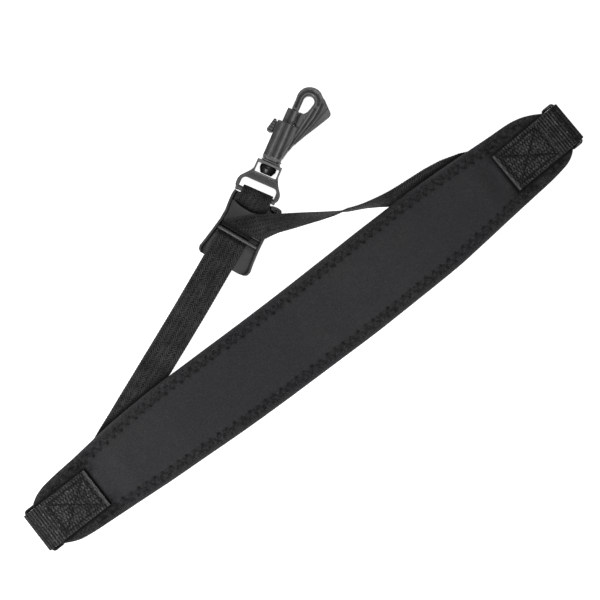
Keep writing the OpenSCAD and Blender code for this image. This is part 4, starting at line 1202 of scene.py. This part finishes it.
def gate_shape(co, nr):
    p = local(co, HK_O, HK_A)
    x, y, z = p[:, 0], p[:, 1], p[:, 2] - AXIS_Z
    out = co.copy()
    up = ease((np.abs(nr[:, 2]) - 0.5) / 0.4)
    tab = (x < -5.6) * 0.14 * np.sin(2 * math.pi * y / 1.7)
    body = (x > -3.6) * (0.18 * np.exp(-((x - 1.8) / 0.9) ** 2) - 0.18 * np.exp(-((x + 1.2) / 0.6) ** 2) - 0.22)
    out[:, 2] += np.sign(z) * (tab + body) * up / 1000
    # painted light and shade: light and dark bands along the tab's ribs, a painted highlight down the body with painted
    # shade lines beside it, kept to the faces that look up or down, and all a little darker
    shading_and_mottle = np.where(x < -5.6, 0.45 * np.sin(2 * math.pi * y / 1.7) - 0.25, 0) + (x > -3.6) * (0.9 * np.exp(-((x - 1.6) / 0.8) ** 2) - 0.9 * np.exp(-((x + 0.2) / 0.9) ** 2) - 0.9 * np.exp(-((x - 3.6) / 0.6) ** 2) - 0.6 * np.exp(-((x + 3.2) / 0.6) ** 2))
    return out, shading_and_mottle * ease((np.abs(nr[:, 2]) - 0.2) / 0.4) - 0.15


gate = moulded("gate_moulding", "gate", 0.26, M_GATE, gate_shape, passes=3)
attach(gate, "gate")
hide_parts("gate")


LEFT_FLANGE = [(-14, -17.3), (-15.6, -16), (-16.2, -14), (-15.5, -10), (-14.6, -3), (-13.7, 5), (-13.7, 11), (-14.5, 16), (-15, 20.5), (-14.85, 24.1)]
RIGHT_FLANGE = [(14.6, -16.8), (16.4, -15.6), (17, -13.2), (16, -8), (15, 0), (14.5, 7), (14.2, 12), (14.3, 18), (14.4, 24.2), (13.6, 25)]


def slider_shape(co, nr):
    p = local(co, SL_O, SL_A)
    x, y, z = p[:, 0], p[:, 1], p[:, 2]
    out = co.copy()
    up = ease((nr[:, 2] - 0.4) / 0.4)
    dl, dr = dist_line(x, y, LEFT_FLANGE), dist_line(x, y, RIGHT_FLANGE)
    top = z > 6.0
    # painted highlight along each flange's bead and on the cross bar with painted shade beside them; painted shade on
    # the plate, on the lip near the bar and by the flanges, and on the inner faces; a little random mottle on top
    shading_and_mottle = np.zeros(len(x))
    for d in (dl, dr):
        bead = 0.30 * np.exp(-((d - 0.45) / 0.35) ** 2) - 0.30 * np.exp(-((d - 1.15) / 0.3) ** 2)
        out[:, 2] += top * bead * up / 1000
        shading_and_mottle += top * (1.1 * np.exp(-((d - 0.65) / 0.42) ** 2) - 0.9 * np.exp(-((d - 1.55) / 0.35) ** 2) - 0.4 * np.exp(-(d / 0.25) ** 2))
    bar = (np.abs(y - 0.9) < 1.6) & (z > 4.4) & (np.abs(x) < 13.2)
    out[:, 2] += bar * 0.20 * np.exp(-((y - 1.1) / 0.5) ** 2) * up / 1000
    shading_and_mottle = np.where(bar, 0.42 * np.exp(-((y - 0.9) / 0.7) ** 2) - 0.25, shading_and_mottle)
    plate = (z > 4.2) & (z < 6.0) & (y > 2.2)
    shading_and_mottle = np.where(plate, -0.50 - 0.45 * ease((18 - y) / 7) - 0.6 * ease((np.abs(x) - 11.6) / 1.2), shading_and_mottle)
    low = z < 2.6
    lip = -0.95 * ease((y + 4.6) / 3.2) - 0.85 * np.exp(-((dr - 2.1) / 0.8) ** 2) - 0.85 * np.exp(-((dl - 2.1) / 0.9) ** 2) + 0.18
    shading_and_mottle = np.where(low, np.where(nr[:, 2] > 0.3, lip, -0.2), shading_and_mottle)
    inner = (np.abs(nr[:, 2]) < 0.5) & (z > 1.8) & (np.minimum(dl, dr) > 1.1)
    shading_and_mottle = np.where(inner, -0.9, shading_and_mottle)
    # the rounded head at the right flange's end is painted dark, as shade, with a faint painted highlight across it
    shading_and_mottle = np.where((x > 7.5) & (y > 24.3) & (z < 5.6), -0.85 + 0.35 * np.exp(-((y - 26) / 0.7) ** 2), shading_and_mottle)
    # the base plate lies in shade between the flanges' ends, and nothing goes below the floor
    shading_and_mottle = np.where((z < 2.2) & (y > 20), -0.95, shading_and_mottle)
    out[:, 2] = np.maximum(out[:, 2], shift[2] / 1000)
    return out, shading_and_mottle + 0.10 * noise2(x, y, 3.5, 51)


slider = moulded("adjuster_moulding", "slide_adjuster", 0.32, M_SLIDER, slider_shape, passes=4)
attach(slider, "adjuster")
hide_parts("slide_adjuster")



def swivel_shape(co, nr):
    p = local(co, HK_O, HK_A)
    x, y, z = p[:, 0], p[:, 1], p[:, 2] - AXIS_Z
    up = ease((nr[:, 2] - 0.3) / 0.4)
    rim = dist_line(x, y, [(-7.7, -5), (-8.6, -7), (-10, -8.8), (-11.6, -10.6), (-13.2, -12.4), (-14, -14.6), (-14, -17), (-13.6, -20)])
    rim2 = dist_line(x, y, [(7.4, -5), (8, -7), (9, -9), (10.4, -11.2), (11.9, -13.2), (12.7, -15), (12.7, -17), (12.1, -20)])
    # painted highlights along the arms' rims and across the frame, painted shade below the lower cross highlight, and
    # the sides painted darker, as shade
    shading_and_mottle = 0.55 * np.exp(-((np.minimum(rim, rim2) - 0.9) / 0.6) ** 2) - 0.25
    shading_and_mottle = np.where(y > -7.9, 0.15, shading_and_mottle)
    shading_and_mottle = shading_and_mottle + 0.75 * np.exp(-((y + 0.5) / 0.6) ** 2) + 0.55 * np.exp(-((y + 7.6) / 0.6) ** 2) * (np.abs(x + 0.5) < 6) - 0.35 * np.exp(-((y + 9.6) / 1.2) ** 2)
    return co.copy(), np.where(up > 0.3, shading_and_mottle, -0.25)


swivel = moulded("swivel_moulding", "swivel_frame", 0.26, M_FRAME, swivel_shape, passes=4, after=1)
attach(swivel, "swivel")
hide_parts("swivel_frame")


def lathe(name, profile, sides, mat):
    """Turned part on the swivel axis: profile of (distance along the axis, radius)."""
    prof = np.array(profile, float)
    ang = np.linspace(0, 2 * math.pi, sides, endpoint=False)
    co = []
    for y, r in prof:
        co.append(hook_pt(r * np.cos(ang), y, AXIS_Z + r * np.sin(ang)))
    co = np.concatenate(co)
    n = len(prof)
    idx = np.arange(n * sides).reshape(n, sides)
    nx = np.roll(idx, -1, 1)
    faces = np.stack([idx[:-1], nx[:-1], nx[1:], idx[1:]], -1).reshape(-1, 4).tolist()
    faces += [idx[0].tolist(), idx[-1].tolist()]
    uv = np.stack([np.repeat(np.arange(n), sides), np.tile(ang, n)], -1)
    return make(name, co, faces, mat, uv)


stud = lathe("stud_turning", [(-6.5, 0.4), (-6.5, 2.8), (-6.46, 3.2), (-6.3, 3.45), (-6.0, 3.7), (-5.0, 4.25), (-4.2, 4.68), (-3.8, 4.84), (-3.3, 4.9), (-2.1, 4.9), (-1.75, 4.86), (-1.56, 4.7), (-1.5, 4.4),
                              (-1.5, 2.7), (-1.45, 2.42), (-1.3, 2.38), (0, 2.38), (2.4, 2.38), (4.5, 2.38), (4.75, 2.2), (4.8, 1.9), (4.8, 0.3)], 72, M_STUD)
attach(stud, "hook")
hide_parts("swivel_stud")

t = np.linspace(0, 6, 6 * 28 + 1)
spring = tube_piece("gate_spring_wire", [hook_pt(0.05 + 1.9 * np.cos(2 * math.pi * t), 5.5 + 10.2 * t / 6, AXIS_Z + 1.9 * np.sin(2 * math.pi * t))], 0.25, M_STEEL, sides=10)
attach(spring, "hook")
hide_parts("gate_spring")
tuple(metres(hook_pt(0, 5.25, AXIS_Z)))
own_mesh(spring)

# ------------------------------------------------------------------ floor and light
g = Graph("floor_white", rough=0.9, spec=0.0)
g.colour(g.mix(g.span(g.noise(400, 2, 0.5), 0.3, 0.7, 0, 1), (0.90, 0.90, 0.90), (0.93, 0.93, 0.93)))
g.b.inputs["Emission Color"].default_value = (1, 1, 1, 1)
g.b.inputs["Emission Strength"].default_value = 0.85
S = 3.0
floor = make("floor", [[-S, -S, -0.0004], [S, -S, -0.0004], [S, S, -0.0004], [-S, S, -0.0004]], [(0, 1, 2, 3)], g.mat, mm=False)

world = bpy.data.worlds.new("studio")
bpy.context.scene.world = world
world.use_nodes = True
world.node_tree.nodes["Background"].inputs["Color"].default_value = (1, 1, 1, 1)
world.node_tree.nodes["Background"].inputs["Strength"].default_value = 0.20


def area(name, loc, target, size, power):
    d = bpy.data.lights.new(name, "AREA")
    d.shape = "SQUARE"
    d.size = size
    d.energy = power
    o = bpy.data.objects.new(name, d)
    bpy.context.scene.collection.objects.link(o)
    o.location = loc
    o.rotation_euler = (Vector(target) - Vector(loc)).to_track_quat("-Z", "Y").to_euler()
    return o


def view_dir(right, up):
    """Direction on the floor for a step right and up in the picture."""
    a = math.radians(-37.7)
    return (right * math.cos(a) - up * math.sin(a), right * math.sin(a) + up * math.cos(a))


x, y = view_dir(-0.50, -0.50)
area("key", (x, y, 0.75), (*view_dir(-0.04, -0.03), 0), 0.38, 7.6)
x, y = view_dir(0.25, 0.35)
area("overhead", (x, y, 1.7), (0, 0, 0), 0.7, 6.2)
bpy.context.scene.view_settings.view_transform = "Standard"
bpy.context.scene.view_settings.look = "None"

bpy.context.view_layer.update()
